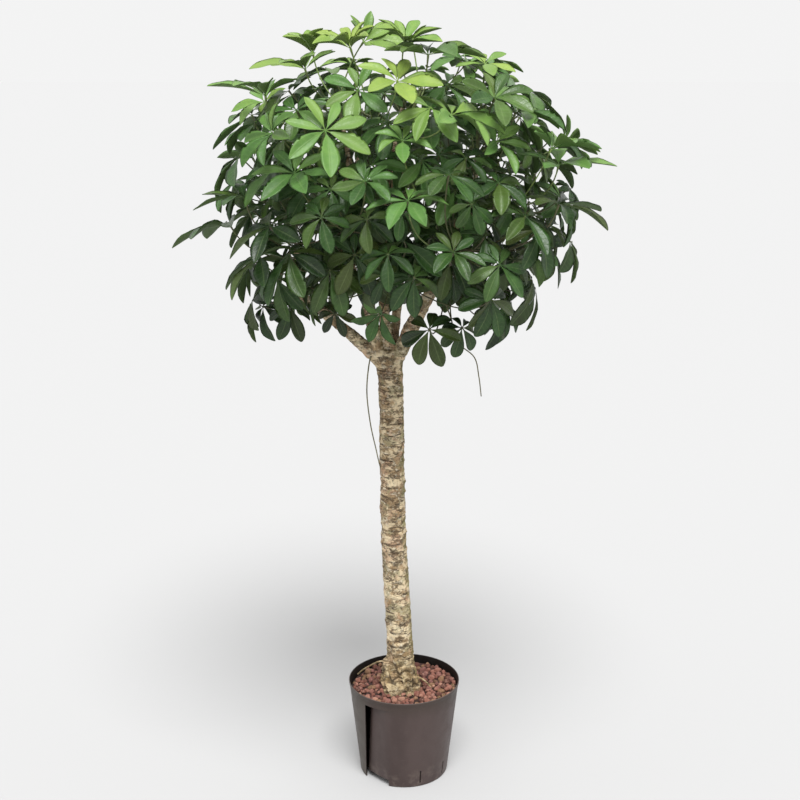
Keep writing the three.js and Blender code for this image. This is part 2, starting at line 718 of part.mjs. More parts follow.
function woodSolid(shoots) {
  const twigRadii = [TWIG_RADIUS, SHOOT_RADIUS];
  const rootRadii = [AERIAL_ROOT_RADIUS, AERIAL_ROOT_RADIUS];
  return fuse([
    solidFrom(trunkLimb(0)),
    ...BRANCHES.map(({ from, to }, index) => (
      taperedSolid(branchLines[index], [0, 1], BRANCH_STEPS, [from, to], BRANCH_SIDES)
    )),
    ...shoots.map(({ line }) => taperedSolid(line, [0, GREEN_START], 2, twigRadii, TWIG_SIDES)),
    ...AERIAL_ROOTS.map((route) => (
      taperedSolid(smoothLine(route), [0, 1], AERIAL_ROOT_STEPS, rootRadii, AERIAL_ROOT_SIDES)
    )),
  ]);
}

// The pot

/** A point of the pot's wall: its turn from the front, its height, and how far outside the wall it lies. */
function wallPoint(turn, z, outside) {
  const radius = mix(POT_FOOT_RADIUS, POT_RIM_RADIUS, z / POT_HEIGHT) + outside;
  return new THREE.Vector3(radius * Math.sin(degrees(turn)), -radius * Math.cos(degrees(turn)), z);
}

/** A closed prism between two outlines of as many points each, seen from above as anticlockwise. */
function prism(lower, upper) {
  const size = lower.length;
  const triangles = [];
  for (let i = 0; i < size; i += 1) {
    const j = (i + 1) % size;
    triangles.push([i, j, size + j], [i, size + j, size + i]);
  }
  for (let i = 1; i + 1 < size; i += 1) {
    triangles.push([0, i + 1, i], [size, size + i, size + i + 1]);
  }
  return solidFrom(shellOf([...lower, ...upper], triangles));
}

/** The turn of the groove's deep side, which stands upright in the slanting wall. */
function grooveStart(z) {
  const radius = mix(POT_FOOT_RADIUS, POT_RIM_RADIUS, z / POT_HEIGHT);
  return Math.asin(GROOVE_SIDE / radius) * 180 / Math.PI;
}

/** A prism of four sides cut into the wall, so deep at its foot, at the groove's top and where it ends. */
function wallCut(footDepth, topDepth, endDepth, height, margin) {
  const spread = degreesFor(margin);
  const outlineAt = (z) => {
    const startDepth = mix(footDepth, topDepth, z / GROOVE_TOP);
    return [
      wallPoint(grooveStart(z) - spread, z, CUT_OVERSHOOT),
      wallPoint(GROOVE_END + spread, z, CUT_OVERSHOOT),
      wallPoint(GROOVE_END + spread, z, -endDepth - margin),
      wallPoint(grooveStart(z) - spread, z, -startDepth - margin),
    ];
  };
  return prism(outlineAt(-1), outlineAt(height + margin));
}

/** The ratchet-shaped groove with the notch under it, grown by a margin where it shapes the inside. */
function grooveSolid(margin) {
  const groove = wallCut(GROOVE_FOOT_DEPTH, GROOVE_DEPTH, 0, GROOVE_TOP, margin);
  const notchDepth = GROOVE_FOOT_DEPTH + FOOT_NOTCH_DEPTH;
  const notch = wallCut(notchDepth, notchDepth, FOOT_NOTCH_DEPTH, FOOT_NOTCH_HEIGHT, margin);
  return groove.add(notch);
}

/** The turn that spans a length on the pot's wall. */
function degreesFor(length) {
  return (length / POT_FOOT_RADIUS) * 180 / Math.PI;
}

function slitSolid(turn) {
  const slit = new THREE.BoxGeometry(SLIT_WIDTH, POT_FOOT_RADIUS / 2, SLIT_TOP - SLIT_BOTTOM);
  slit.translate(0, -POT_FOOT_RADIUS, (SLIT_TOP + SLIT_BOTTOM) / 2);
  slit.rotateZ(degrees(turn));
  return solidFrom(slit);
}

function turned(profile, sides) {
  const lathe = new THREE.LatheGeometry(profile.map(([r, z]) => new THREE.Vector2(r, z)), sides);
  return solidFrom(lathe.rotateX(Math.PI / 2));
}

/** The room inside the pot's wall and floor, shrunk by a gap for what fills it. */
function innerRadius(z, gap) {
  return mix(POT_FOOT_RADIUS, POT_RIM_RADIUS, z / POT_HEIGHT) - POT_WALL - gap;
}

function potSolid() {
  const outside = turned([
    [0, 0], [POT_FOOT_RADIUS - 2, 0], [POT_FOOT_RADIUS + 0.2, 2.2],
    [POT_RIM_RADIUS - 0.8, POT_HEIGHT - 8], [POT_RIM_RADIUS, POT_HEIGHT - 5],
    [POT_RIM_RADIUS, POT_HEIGHT], [0, POT_HEIGHT],
  ], POT_SIDES);
  const inside = turned([
    [0, POT_WALL], [innerRadius(POT_WALL, 0), POT_WALL],
    [innerRadius(POT_HEIGHT + 1, 0), POT_HEIGHT + 1], [0, POT_HEIGHT + 1],
  ], POT_SIDES);
  let pot = outside.subtract(grooveSolid(0)).subtract(inside.subtract(grooveSolid(POT_WALL)));
  SLIT_ANGLES.forEach((turn) => {
    pot = pot.subtract(slitSolid(turn));
  });
  return pot;
}

// The clay granules, as one bed with a relief of pebbles and a plain hole for the trunk

function granuleSolid() {
  const draw = drawsFrom(GRANULE_SEED);
  const vertices = [];
  const triangles = [];
  const floor = POT_WALL + GAP;
  vertices.push(new THREE.Vector3(0, 0, floor), new THREE.Vector3(0, 0, GRANULE_LEVEL));
  const rings = [];
  const addRing = (placeAt) => {
    rings.push(vertices.length);
    for (let i = 0; i < POT_SIDES; i += 1) {
      vertices.push(placeAt(360 * i / POT_SIDES));
    }
  };
  addRing((turn) => wallPoint(turn, floor, -POT_WALL - GAP));
  for (let ring = GRANULE_RINGS; ring >= 1; ring -= 1) {
    addRing((turn) => {
      const share = ring / GRANULE_RINGS;
      const mound = GRANULE_MOUND * share * Math.cos(degrees(turn - GRANULE_MOUND_TURN));
      const z = GRANULE_LEVEL + mound + mix(-GRANULE_RELIEF, GRANULE_RELIEF, draw());
      const edge = wallPoint(turn, z, -POT_WALL - GAP);
      return new THREE.Vector3(edge.x * share, edge.y * share, z);
    });
  }
  for (let i = 0; i < POT_SIDES; i += 1) {
    const j = (i + 1) % POT_SIDES;
    triangles.push([0, rings[0] + j, rings[0] + i]);
    for (let ring = 0; ring + 1 < rings.length; ring += 1) {
      const low = rings[ring];
      const high = rings[ring + 1];
      triangles.push([low + i, low + j, high + j], [low + i, high + j, high + i]);
    }
    const inmost = rings[rings.length - 1];
    triangles.push([1, inmost + i, inmost + j]);
  }
  const bed = solidFrom(shellOf(vertices, triangles));
  return bed.subtract(grooveSolid(POT_WALL + GAP)).subtract(solidFrom(trunkLimb(STUMP_GAP)));
}

// Materials and the finished group

function finish(colour, roughness) {
  return new THREE.MeshStandardMaterial({ color: colour, roughness, metalness: 0 });
}

const plant = new THREE.Group();

function addNode(name, solid, colour, roughness) {
  const mesh = new THREE.Mesh(geometryFrom(solid), finish(colour, roughness));
  mesh.name = name;
  plant.add(mesh);
}

const shoots = layShoots();
const leaves = layLeaves(shoots);

addNode('pot', potSolid(), '#54484a', 0.5);
addNode('clay_granules', granuleSolid(), '#8a5548', 0.95);
addNode('trunk', woodSolid(shoots), '#a3977c', 0.85);

shoots.forEach(({ line }, k) => {
  const number = String(k + 1).padStart(2, '0');
  const gap = GAP / line.getLength();
  const greenRadii = [SHOOT_RADIUS, YOUNG_RADIUS];
  const tipRadii = [YOUNG_RADIUS, TIP_RADIUS];
  const green = taperedSolid(line, [GREEN_START + gap, YOUNG_START], 3, greenRadii, SHOOT_SIDES);
  const tip = taperedSolid(line, [YOUNG_START + gap, 1], 2, tipRadii, SHOOT_SIDES);
  addNode(`shoot_${number}`, leafySolid(`shoot ${k}`, green, leaves), '#3c5c36', 0.45);
  addNode(`young_${number}`, leafySolid(`young ${k}`, tip, leaves), '#7fa050', 0.5);
});

export default plant;
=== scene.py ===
"""The looks of a potted umbrella plant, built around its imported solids.

All pieces are worked out in millimetres, in the frame of the solids, and turned into metres when
their mesh is made. The front of the plant is towards -Y.
"""

import math

import bmesh
import bpy
import numpy as np
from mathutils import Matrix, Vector, noise
from numpy.linalg import norm


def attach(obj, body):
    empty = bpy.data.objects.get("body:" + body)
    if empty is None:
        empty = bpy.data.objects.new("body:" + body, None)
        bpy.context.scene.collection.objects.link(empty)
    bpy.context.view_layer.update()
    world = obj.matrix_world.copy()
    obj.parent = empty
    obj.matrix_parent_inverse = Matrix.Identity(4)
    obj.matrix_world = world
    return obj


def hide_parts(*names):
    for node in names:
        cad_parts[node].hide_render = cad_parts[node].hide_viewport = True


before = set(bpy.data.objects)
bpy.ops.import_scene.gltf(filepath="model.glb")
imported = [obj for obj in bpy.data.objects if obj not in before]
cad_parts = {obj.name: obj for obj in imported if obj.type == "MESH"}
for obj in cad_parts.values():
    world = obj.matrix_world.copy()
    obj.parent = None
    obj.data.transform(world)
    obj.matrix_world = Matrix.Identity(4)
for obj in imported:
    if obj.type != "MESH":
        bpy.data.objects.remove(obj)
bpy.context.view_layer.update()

MM = 0.001

# Sizes of the pot, as in the solids

POT_HEIGHT = 194
POT_RIM_RADIUS = 110
POT_FOOT_RADIUS = 88
POT_WALL = 2
GROOVE_SIDE = -76
GROOVE_END = -20
GROOVE_DEPTH = 12
GROOVE_FOOT_DEPTH = 7
GROOVE_TOP = 175
FOOT_NOTCH_HEIGHT = 13
FOOT_NOTCH_DEPTH = 26
SLIT_WIDTH = 3
SLIT_BOTTOM = 8
SLIT_TOP = 36
SLIT_ANGLES = [21, 59, 97, 135, 173, 211, 249]
GRANULE_LEVEL = 176
GRANULE_MOUND = 3
GRANULE_MOUND_TURN = 150

# Sizes of the wood, as in the solids

TRUNK_LINE = [
    (70, -3, 25, 0), (130, -4, 27, 0), (163, -4, 31, 0.9), (177, -4, 31, 1), (194, -5, 29, 0.5),
    (222, -6, 27.2, 0), (290, -9, 25.8, 0), (380, -14, 25, 0), (470, -19, 24.2, 0), (560, -22, 23.8, 0),
    (650, -23, 23.6, 0), (740, -24, 23.2, 0), (810, -26, 23.4, 0), (848, -28, 26.5, 0), (872, -29, 20, 0),
]  # height, x, radius, and how much the roots flare
ROOT_FLARES = [(-100, 12), (-35, 9), (40, 10), (105, 12), (185, 10)]  # turn and reach
FLARE_WIDTH = 20
BRANCHES = [  # radius at the fork, radius at the end, and route
    (14, 5.5, [(-34, -2, 838), (-85, -4, 886), (-148, -12, 942), (-196, -20, 990), (-196, -22, 1056)]),
    (12, 5.5, [(-44, -8, 842), (-64, -18, 950), (-66, -42, 1050), (-88, -62, 1140), (-98, -70, 1230)]),
    (12, 5, [(-26, 4, 845), (-38, -2, 950), (-30, 6, 1060), (-28, -4, 1170), (-14, -10, 1270)]),
    (13, 5.5, [(-16, -2, 842), (12, -12, 918), (52, -26, 992), (102, -44, 1070), (124, -54, 1160)]),
    (11, 5, [(-14, 10, 842), (34, 54, 930), (78, 84, 1010), (100, 98, 1090), (102, 94, 1170)]),
    (11, 5, [(-36, 12, 842), (-68, 66, 930), (-100, 92, 1010), (-114, 102, 1090), (-108, 94, 1170)]),
    (10, 5, [(-24, 14, 845), (-12, 60, 950), (-4, 88, 1050), (-4, 94, 1140), (-8, 88, 1220)]),
]
AERIAL_ROOTS = [
    [
        (-58, -12, 872), (-66, -18, 842), (-70, -16, 790), (-64, -14, 730),
        (-54, -12, 680), (-44, -8, 636), (-30, -4, 612),
    ],
    [(60, -28, 1000), (84, -40, 940), (96, -44, 895), (128, -48, 866), (137, -50, 830), (142, -50, 792)],
]
AERIAL_ROOT_RADIUS = 1.3

# Sizes of the crown, as in the solids

CROWN_CENTRE = np.array([-6.0, 0, 1158])
CROWN_HALF = np.array([330.0, 310, 285])
SHOOTS = 28
SHOOT_TIP_SCALE = 0.7
SHOOT_FOOT_SCALE = 0.4
SHOOT_LOWEST = -0.78
SHOOT_HIGHEST = 0.97
SHOOT_TURN_FIRST = 20
GOLDEN_ANGLE = 137.5
SHOOT_FOOT_DROP = 40
SHOOT_BEND = 22
SHOOT_ROOM = 16
SHOOT_THRIFT = 0.05
BEND_THRIFT = 1 / 16
SEAT_SHARES = [0.3, 0.4, 0.5, 0.6, 0.7, 0.8, 0.9, 1.0]
MARKS_ON_LINE = 24
MARKS_ON_BRANCH = 64
SEATS_TRIED = 10
SIDEWAYS_BENDS = [0, -24, 24, -48, 48]
TWIG_RADIUS = 4.6
SHOOT_RADIUS = 3.6
YOUNG_RADIUS = 3.1
TIP_RADIUS = 2.4
GREEN_START = 0.4
YOUNG_START = 0.82
HUB_DEPTH = 2.4

# How leaves are found in the meshes of the solids, in metres where they have MM

MERGE = 0.02 * MM
HUB_FACES = 20
HUB_NEAR = 4 * MM
UNDERSIDE_NEAR = 0.5 * MM
BLADE_DEPTH = 1 * MM
TIP_SHARE = 0.45
TIPS_APART = math.radians(24)


def mix(a, b, share):
    return a + (b - a) * share


def smooth(low, high, value):
    share = np.clip((value - low) / (high - low), 0, 1)
    return share * share * (3 - 2 * share)


def facing(turn, rise):
    """A unit vector that faces the given turn (0 is the front, 90 is +X) and rise above level."""
    t, r = math.radians(turn), math.radians(rise)
    return np.array([math.cos(r) * math.sin(t), -math.cos(r) * math.cos(t), math.sin(r)])


def unit(vector):
    return vector / norm(vector)


# Lines that the wood and the shoots follow


def smooth_line(points):
    """A function of a share from 0 to 1 that passes smoothly through the points."""
    p = np.array(points, float)
    p = np.vstack([2 * p[0] - p[1], p, 2 * p[-1] - p[-2]])
    pieces = len(p) - 3

    def at(share):
        place = min(max(share, 0), 1) * pieces
        i = min(int(place), pieces - 1)
        t = place - i
        a, b, c, d = p[i:i + 4]
        square, cube = 2 * a - 5 * b + 4 * c - d, 3 * b - a - 3 * c + d
        return 0.5 * (2 * b + (c - a) * t + square * t ** 2 + cube * t ** 3)

    return at


def bent_line(start, bend, end):
    """A function of a share from 0 to 1 that runs from the start to the end, drawn towards the bend."""

    def at(share):
        return (1 - share) ** 2 * start + 2 * share * (1 - share) * bend + share ** 2 * end

    return at


def places_on(line, first, last, steps):
    return np.array([line(mix(first, last, i / steps)) for i in range(steps + 1)])


branch_lines = [smooth_line(route) for _, _, route in BRANCHES]


def shoot_room(line, taken):
    """The least room of a shoot's green part, from the first thing that it would cut into."""
    marks = places_on(line, GREEN_START / 2, 1, MARKS_ON_LINE)
    apart = norm(marks[:, None] - taken[None, :, :3], axis=2).min(0) - taken[:, 3]
    crossed = np.flatnonzero(apart < 0)
    return apart[crossed[0]] if len(crossed) else apart.min()


def lay_shoots():
    """The line of each shoot, by the rule that laid the solids."""
    seats = np.array([line(share) for line in branch_lines for share in SEAT_SHARES])
    taken = []
    for line, (thick, thin, _) in zip(branch_lines, BRANCHES):
        for step in range(MARKS_ON_BRANCH + 1):
            taken.append([*line(step / MARKS_ON_BRANCH), mix(thick, thin, step / MARKS_ON_BRANCH)])
    shoots = []
    for k in range(SHOOTS):
        height = mix(SHOOT_HIGHEST, SHOOT_LOWEST, k / (SHOOTS - 1))
        turn = SHOOT_TURN_FIRST + GOLDEN_ANGLE * k
        direction = facing(turn, math.degrees(math.asin(height)))
        tip = CROWN_CENTRE + direction * CROWN_HALF * SHOOT_TIP_SCALE
        foot = CROWN_CENTRE + direction * CROWN_HALF * SHOOT_FOOT_SCALE - [0, 0, SHOOT_FOOT_DROP]
        level = facing(turn + 90, 0)
        order = np.argsort(norm(seats - foot, axis=1), kind="stable")[:SEATS_TRIED]
        best = None
        for seat in seats[order]:
            for sideways in SIDEWAYS_BENDS:
                bend = (seat + tip) / 2 + level * sideways + [0, 0, SHOOT_BEND]
                line = bent_line(seat, bend, tip)
                effort = SHOOT_THRIFT * norm(seat - foot) + BEND_THRIFT * abs(sideways)
                score = min(shoot_room(line, np.array(taken)), SHOOT_ROOM) - effort
                if best is None or score > best[0]:
                    best = (score, line)
        shoots.append(best[1])
        taken += [[*place, TWIG_RADIUS] for place in places_on(best[1], 0, 1, MARKS_ON_LINE)]
    return shoots


# Leaves, as the solids have them


def ring_around(hub):
    """The vertices round a leaf's hub, anticlockwise as seen from above the leaf."""
    following = {}
    for face in hub.link_faces:
        corners = list(face.verts)
        i = corners.index(hub)
        following[corners[(i + 1) % len(corners)]] = corners[(i + 2) % len(corners)]
    ring = [min(following, key=lambda v: tuple(v.co))]
    while len(ring) < len(following):
        ring.append(following[ring[-1]])
    return ring


def leaflet_tips(hub, ring):
    """The ring's vertices that lie further out than both their neighbours, one in each direction."""
    reach = [(v.co - hub.co).length for v in ring]
    tips = []
    for i in sorted(range(len(ring)), key=lambda i: -reach[i]):
        outmost = reach[i] > reach[i - 1] and reach[i] > reach[(i + 1) % len(ring)]
        way = ring[i].co - hub.co
        if outmost and reach[i] > TIP_SHARE * max(reach) and all(
            way.angle(other.co - hub.co) > TIPS_APART for other in tips
        ):
            tips.append(ring[i])
    return sorted(tips, key=ring.index)


def read_leaf(bm, hub, young):
    """One leaf, by its hub, its axis, its seat on the stem and the tip of each leaflet."""
    ring = ring_around(hub)
    near = [v for v in bm.verts if v is not hub and (v.co - hub.co).length < HUB_NEAR]
    top = sum((v.co for v in near), Vector()) / len(near)
    axis = (hub.co - top).normalized()
    under = [v.co - axis * BLADE_DEPTH for v in ring]
    middle = set()
    for v in near:
        for edge in v.link_edges:
            other = edge.other_vert(v)
            if other not in near and min((other.co - u).length for u in under) > UNDERSIDE_NEAR:
                middle.add(other)
    halfway = sum((v.co for v in middle), Vector()) / len(middle)
    reach = 4 * halfway - top - 2 * hub.co - top
    span = -reach.length_squared / (2 * axis.dot(reach))
    return {
        "hub": np.array(hub.co) / MM,
        "axis": np.array(axis),
        "seat": np.array(top + reach + axis * span) / MM,
        "tips": [np.array(v.co) / MM for v in leaflet_tips(hub, ring)],
        "young": young,
    }


def read_leaves(node):
    """The leaves of a node, by the vertices in which many faces meet."""
    bm = bmesh.new()
    bm.from_mesh(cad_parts[node].data)
    bmesh.ops.remove_doubles(bm, verts=bm.verts, dist=MERGE)
    hubs = [v for v in bm.verts if len(v.link_faces) >= HUB_FACES]
    hubs.sort(key=lambda v: tuple(round(x / MM, 1) for x in v.co))
    leaves = [read_leaf(bm, hub, node.startswith("young")) for hub in hubs]
    bm.free()
    return leaves


# Meshes


def put(name, data):
    """A new object in the scene that shows the data."""
    thing = bpy.data.objects.new(name, data)
    bpy.context.scene.collection.objects.link(thing)
    return thing


class Builder:
    """Collects the points, faces and per-point values of one piece, in millimetres."""

    def __init__(self):
        self.points = []
        self.faces = []
        self.materials = []
        self.values = {}
        self.count = 0

    def add(self, points, faces, material=0, **values):
        self.points.append(points)
        self.faces += [[self.count + corner for corner in face] for face in faces]
        self.materials += [material] * len(faces)
        for key, value in values.items():
            self.values.setdefault(key, []).append((self.count, np.broadcast_to(value, len(points))))
        self.count += len(points)

    def build(self, name, materials):
        mesh = bpy.data.meshes.new(name)
        mesh.from_pydata((np.concatenate(self.points) * MM).tolist(), [], self.faces)
        for material in materials:
            mesh.materials.append(material)
        mesh.polygons.foreach_set("material_index", self.materials)
        mesh.polygons.foreach_set("use_smooth", [True] * len(self.faces))
        for key, parts in self.values.items():
            whole = np.zeros(self.count)
            for start, part in parts:
                whole[start:start + len(part)] = part
            mesh.attributes.new(key, "FLOAT", "POINT").data.foreach_set("value", whole)
        mesh.update()
        return put(name, mesh)


def skin_faces(rings, corners):
    """The faces of a closed skin through rings of equal corners, with both ends capped."""
    faces = []
    for ring in range(rings - 1):
        for i in range(corners):
            a, b = ring * corners + i, ring * corners + (i + 1) % corners
            faces.append([a, b, b + corners, a + corners])
    last = (rings - 1) * corners
    faces.append([corners - 1 - i for i in range(corners)])
    faces.append([last + i for i in range(corners)])
    return faces


def tube_points(places, radii, corners):
    """Rings of corners round a line through the places, carried along without twist."""
    ahead = np.gradient(places, axis=0)
    ahead /= norm(ahead, axis=1)[:, None]
    side = np.array([0.0, 1, 0]) if abs(ahead[0][0]) > 0.8 else np.array([1.0, 0, 0])
    angles = 2 * np.pi * np.arange(corners) / corners
    rings = []
    for place, way, radius in zip(places, ahead, radii):
        side = unit(side - way * side.dot(way))
        across = np.cross(way, side)
        ring = place + np.outer(np.cos(angles) * radius, side)
        rings.append(ring + np.outer(np.sin(angles) * radius, across))
    return np.concatenate(rings)


def add_tube(builder, places, radii, corners, **values):
    points = tube_points(places, radii, corners)
    builder.add(points, skin_faces(len(places), corners), **values)


def add_limb(builder, line, stretch, steps, radii, corners, **values):
    """A tube along a stretch of a line, with an even change from its first radius to its last."""
    places = places_on(line, *stretch, steps)
    add_tube(builder, places, np.linspace(*radii, len(places)), corners, **values)


# Leaves

LEAFLET_ROWS = [0, 0.035, 0.08, 0.14, 0.22, 0.32, 0.43, 0.54, 0.65, 0.75, 0.84, 0.91, 0.96, 0.99]
LEAFLET_ACROSS = 6
STALK_END = 0.06
HALF_WIDTH = 0.17
FOLD_LIFT = 0.075
STALK_HALF_WIDTH = 0.9
BASE_POWER = 1.25
TAPERS = {False: (0.68, 0.92), True: (0.8, 1.05)}  # of mature and young leaflets, from blunt to pointed
BLADE_WIDTH = 0.19
WIDTHS = (0.86, 1.06)
OWN_WIDTH = (0.88, 1.12)
FOLDS = (0.7, 1.8)
LEAF_THICKNESS = 0.35
ARCH = (0.02, 0.13)
BOW = 0.045
ROLL = 17
TIP_SWAY = 0.06
TIP_TRIM = 0.07
RIPPLE = 0.012
RIPPLE_WAVES = 14
RIPPLE_SHIFT = 2
FOLD_POWER = 1.2
ARCH_LEAN = 0.4
STALK_TAPER = 0.8
BACKLIGHT_SWAY = 0.2
LEAFLET_TONE_SWAY = 0.09
LEAF_TONE_SWAY = 0.14
# tone ranges: young leaves are paler, and within each range the height adds painted light at the top and
# painted shade low down
TONE_RANGES = {False: (0.06, 0.52), True: (0.25, 0.9)}  # of mature and young leaves, from low to high
MOST_BACKLIGHT = {False: 0.3, True: 0.8}
PETIOLE_STRAIGHT = 0.5
PETIOLE_STEPS = 10
PETIOLE_SIDES = 6
PETIOLE_RADIUS = 1.25
PETIOLE_FOOT_RADIUS = 2.2
HUB_RADIUS = 2.1
STEM_STEPS = 40
STEM_SIDES = 8
STEM_TONE = 0.4
TIP_LENGTH = 6
TIP_TAPER = (0.7, 0.2)
LEAF_FACES = skin_faces(len(LEAFLET_ROWS), 2 * LEAFLET_ACROSS)


def blade_outline(share, taper):
    """The half width of a leaflet at a share of its length, as a share of its greatest."""
    t = np.clip((share - STALK_END) / (1 - STALK_END), 0, 1)
    peak = BASE_POWER / (BASE_POWER + taper)
    top = peak ** BASE_POWER * (1 - peak) ** taper
    return t ** BASE_POWER * (1 - t) ** taper / top


def add_leaflet(builder, leaf, tip, draw, tone, warm, shape):
    """A blade with a stalk, folded along its middle, arched lengthwise and rippled at its edge."""
    along = np.array(LEAFLET_ROWS)[:, None]
    across = np.linspace(-1, 1, LEAFLET_ACROSS + 1)
    across = np.concatenate([across, across[-2:0:-1]])[None, :]
    top_side = np.where(np.arange(across.size) <= LEAFLET_ACROSS, 1, -1)[None, :]
    way = tip - leaf["hub"]
    length = norm(way)
    side = unit(np.cross(leaf["axis"], way))
    way = way * (1 - draw.uniform(0, TIP_TRIM)) + side * length * draw.uniform(-TIP_SWAY, TIP_SWAY)
    length = norm(way)
    side = unit(np.cross(leaf["axis"], way))
    up = unit(np.cross(way, side))
    roll = math.radians(draw.uniform(-ROLL, ROLL))
    side, up = side * math.cos(roll) + up * math.sin(roll), up * math.cos(roll) - side * math.sin(roll)
    width, fold, taper = shape
    outline = blade_outline(along, taper)
    half = np.maximum(outline * BLADE_WIDTH * width * length, STALK_HALF_WIDTH * (1 - STALK_TAPER * along))
    lift = FOLD_LIFT * fold * length * np.abs(across) ** FOLD_POWER * outline
    arch = draw.uniform(*ARCH) * length * np.sin(np.pi * along) * (1 - ARCH_LEAN * along)
    bow = draw.uniform(-BOW, BOW) * length * np.sin(np.pi * along)
    phase = draw.uniform(0, 2 * np.pi)
    wave = np.sin(phase + RIPPLE_WAVES * along + RIPPLE_SHIFT * np.sign(across))
    ripple = RIPPLE * length * wave * across ** 2 * outline
    thick = top_side * LEAF_THICKNESS * (1 - across ** 2)
    height = lift + arch + ripple + thick
    points = (
        leaf["hub"]
        + along[..., None] * way
        + (half * across + bow)[..., None] * side
        + height[..., None] * up
    ).reshape(-1, 3)
    values = {"side": across, "along": along, "under": top_side < 0}
    spread = {key: np.broadcast_to(value, height.shape).ravel() for key, value in values.items()}
    builder.add(points, LEAF_FACES, tone=tone, warm=warm, **spread)


def petiole_line(leaf):
    top = leaf["hub"] - leaf["axis"] * HUB_DEPTH
    span = norm(leaf["seat"] - top)
    return bent_line(leaf["seat"], leaf["hub"] - leaf["axis"] * PETIOLE_STRAIGHT * span, top)


def add_leaf(builder, leaf, draw):
    tone = leaf_tone_and_light(leaf, draw)
    backlight_share = painted_backlight(leaf, draw)
    width, fold, taper = draw.uniform(*WIDTHS), draw.uniform(*FOLDS), draw.uniform(*TAPERS[leaf["young"]])
    for tip in leaf["tips"]:
        warm = min(max(backlight_share + draw.uniform(-BACKLIGHT_SWAY, BACKLIGHT_SWAY), 0), 1)
        shape = (width * draw.uniform(*OWN_WIDTH), fold, taper)
        leaflet_tone = tone + draw.uniform(-LEAFLET_TONE_SWAY, LEAFLET_TONE_SWAY)
        add_leaflet(builder, leaf, tip, draw, leaflet_tone, warm, shape)
    places = places_on(petiole_line(leaf), 0, 1, PETIOLE_STEPS)
    places = np.vstack([places, leaf["hub"]])
    radii = np.full(len(places), PETIOLE_RADIUS)
    radii[0] = PETIOLE_FOOT_RADIUS
    radii[-2:] = HUB_RADIUS
    # the petiole takes its leaf's tone, painted light and shade by height included
    add_tube(builder, places, radii, PETIOLE_SIDES, material=1, tone=tone)


def height_in_crown(leaf):
    return (leaf["hub"][2] - CROWN_CENTRE[2]) / CROWN_HALF[2]


def leaf_tone_and_light(leaf, draw):
    """How bright and young a leaf is, from 0 to 1: by its age, which is its own colour, and by how high it
    sits, which is painted light high in the crown and painted shade low in it.
    """
    base = mix(*TONE_RANGES[leaf["young"]], smooth(-0.8, 1.2, height_in_crown(leaf)))
    return float(base + draw.uniform(-LEAF_TONE_SWAY, LEAF_TONE_SWAY))


def painted_backlight(leaf, draw):
    """How much painted backlight glow a leaf gets: most in young ones at the top and the rim of the crown.
    """
    out = norm((leaf["hub"] - CROWN_CENTRE) / CROWN_HALF)
    share = smooth(0.75, 1.1, out) * smooth(0.2, 0.9, height_in_crown(leaf)) * MOST_BACKLIGHT[leaf["young"]]
    return float(share * draw.uniform(0, 1))


def add_stem(builder, line, first, last, radii, tip_length):
    """A stretch of a shoot's line, with a tapered tip where its length isn't 0."""
    places = places_on(line, first, last, STEM_STEPS)
    sizes = mix(radii[0], radii[1], np.linspace(0, 1, len(places)))
    if tip_length:
        ahead = unit(places[-1] - places[-2])
        places = np.vstack([places, places[-1] + ahead * tip_length / 2, places[-1] + ahead * tip_length])
        sizes = np.append(sizes, [sizes[-1] * share for share in TIP_TAPER])
    add_tube(builder, places, sizes, STEM_SIDES, material=1, tone=STEM_TONE)


# Leaves between those of the solids

AIMED_LEAVES = [  # hub, the turn and rise that the leaf faces, and reach
    ((183, -60, 1337), 80, 50, 100), ((246, -50, 1268), 85, 45, 88), ((118, -70, 1385), 70, 60, 84),
    ((-215, -90, 1330), -80, 50, 88), ((60, -150, 1370), 20, 60, 80),
]
AIM_SPREAD = 16
AIM_SWAY = 14
EXTRA_LEAVES = 166
EXTRA_TRIES = 70
EXTRA_HEIGHTS = (-0.8, 0.9)
EXTRA_DEPTHS = (0.3, 0.95)
EXTRA_REACH = (52, 88)
EXTRA_CLEARANCE = 5
EXTRA_PETIOLE = (28, 150)
EXTRA_BEHIND = 0.25
EXTRA_LEAFLETS = 7
SEAT_STRETCH = (0.42, 0.8)
SEAT_STEPS = 10
SEAT_BEHIND = 80
OWN_LENGTH = (0.92, 1.08)
LEAN_ASIDE = (-0.3, 0.3)
LEAN_UP = (0.5, 0.9)
OUTWARD = (0.4, 0.9)
LOW_DROOP = (30, 46)
HIGH_DROOP = (2, 18)
BACK_LEAFLET = 0.58
LEAFLET_SWAY = 10
LEAF_MARKS = [(1, 0), (0.8, 0), (0.58, -1), (0.58, 0), (0.58, 1), (0.3, 0)]
NEAR_LEAF = 210
FORK_VIEW = (-150, 110)
FORK_VIEW_TOP = 1030
CROWN_SEED = 31


def leaf_marks(leaf):
    """The points by which a leaf's blade keeps clear of the others."""
    marks = [leaf["hub"]]
    for tip in leaf["tips"]:
        way = tip - leaf["hub"]
        side = unit(np.cross(leaf["axis"], way)) * HALF_WIDTH * norm(way)
        marks += [leaf["hub"] + way * along + side * across for along, across in LEAF_MARKS]
    return np.array(marks)


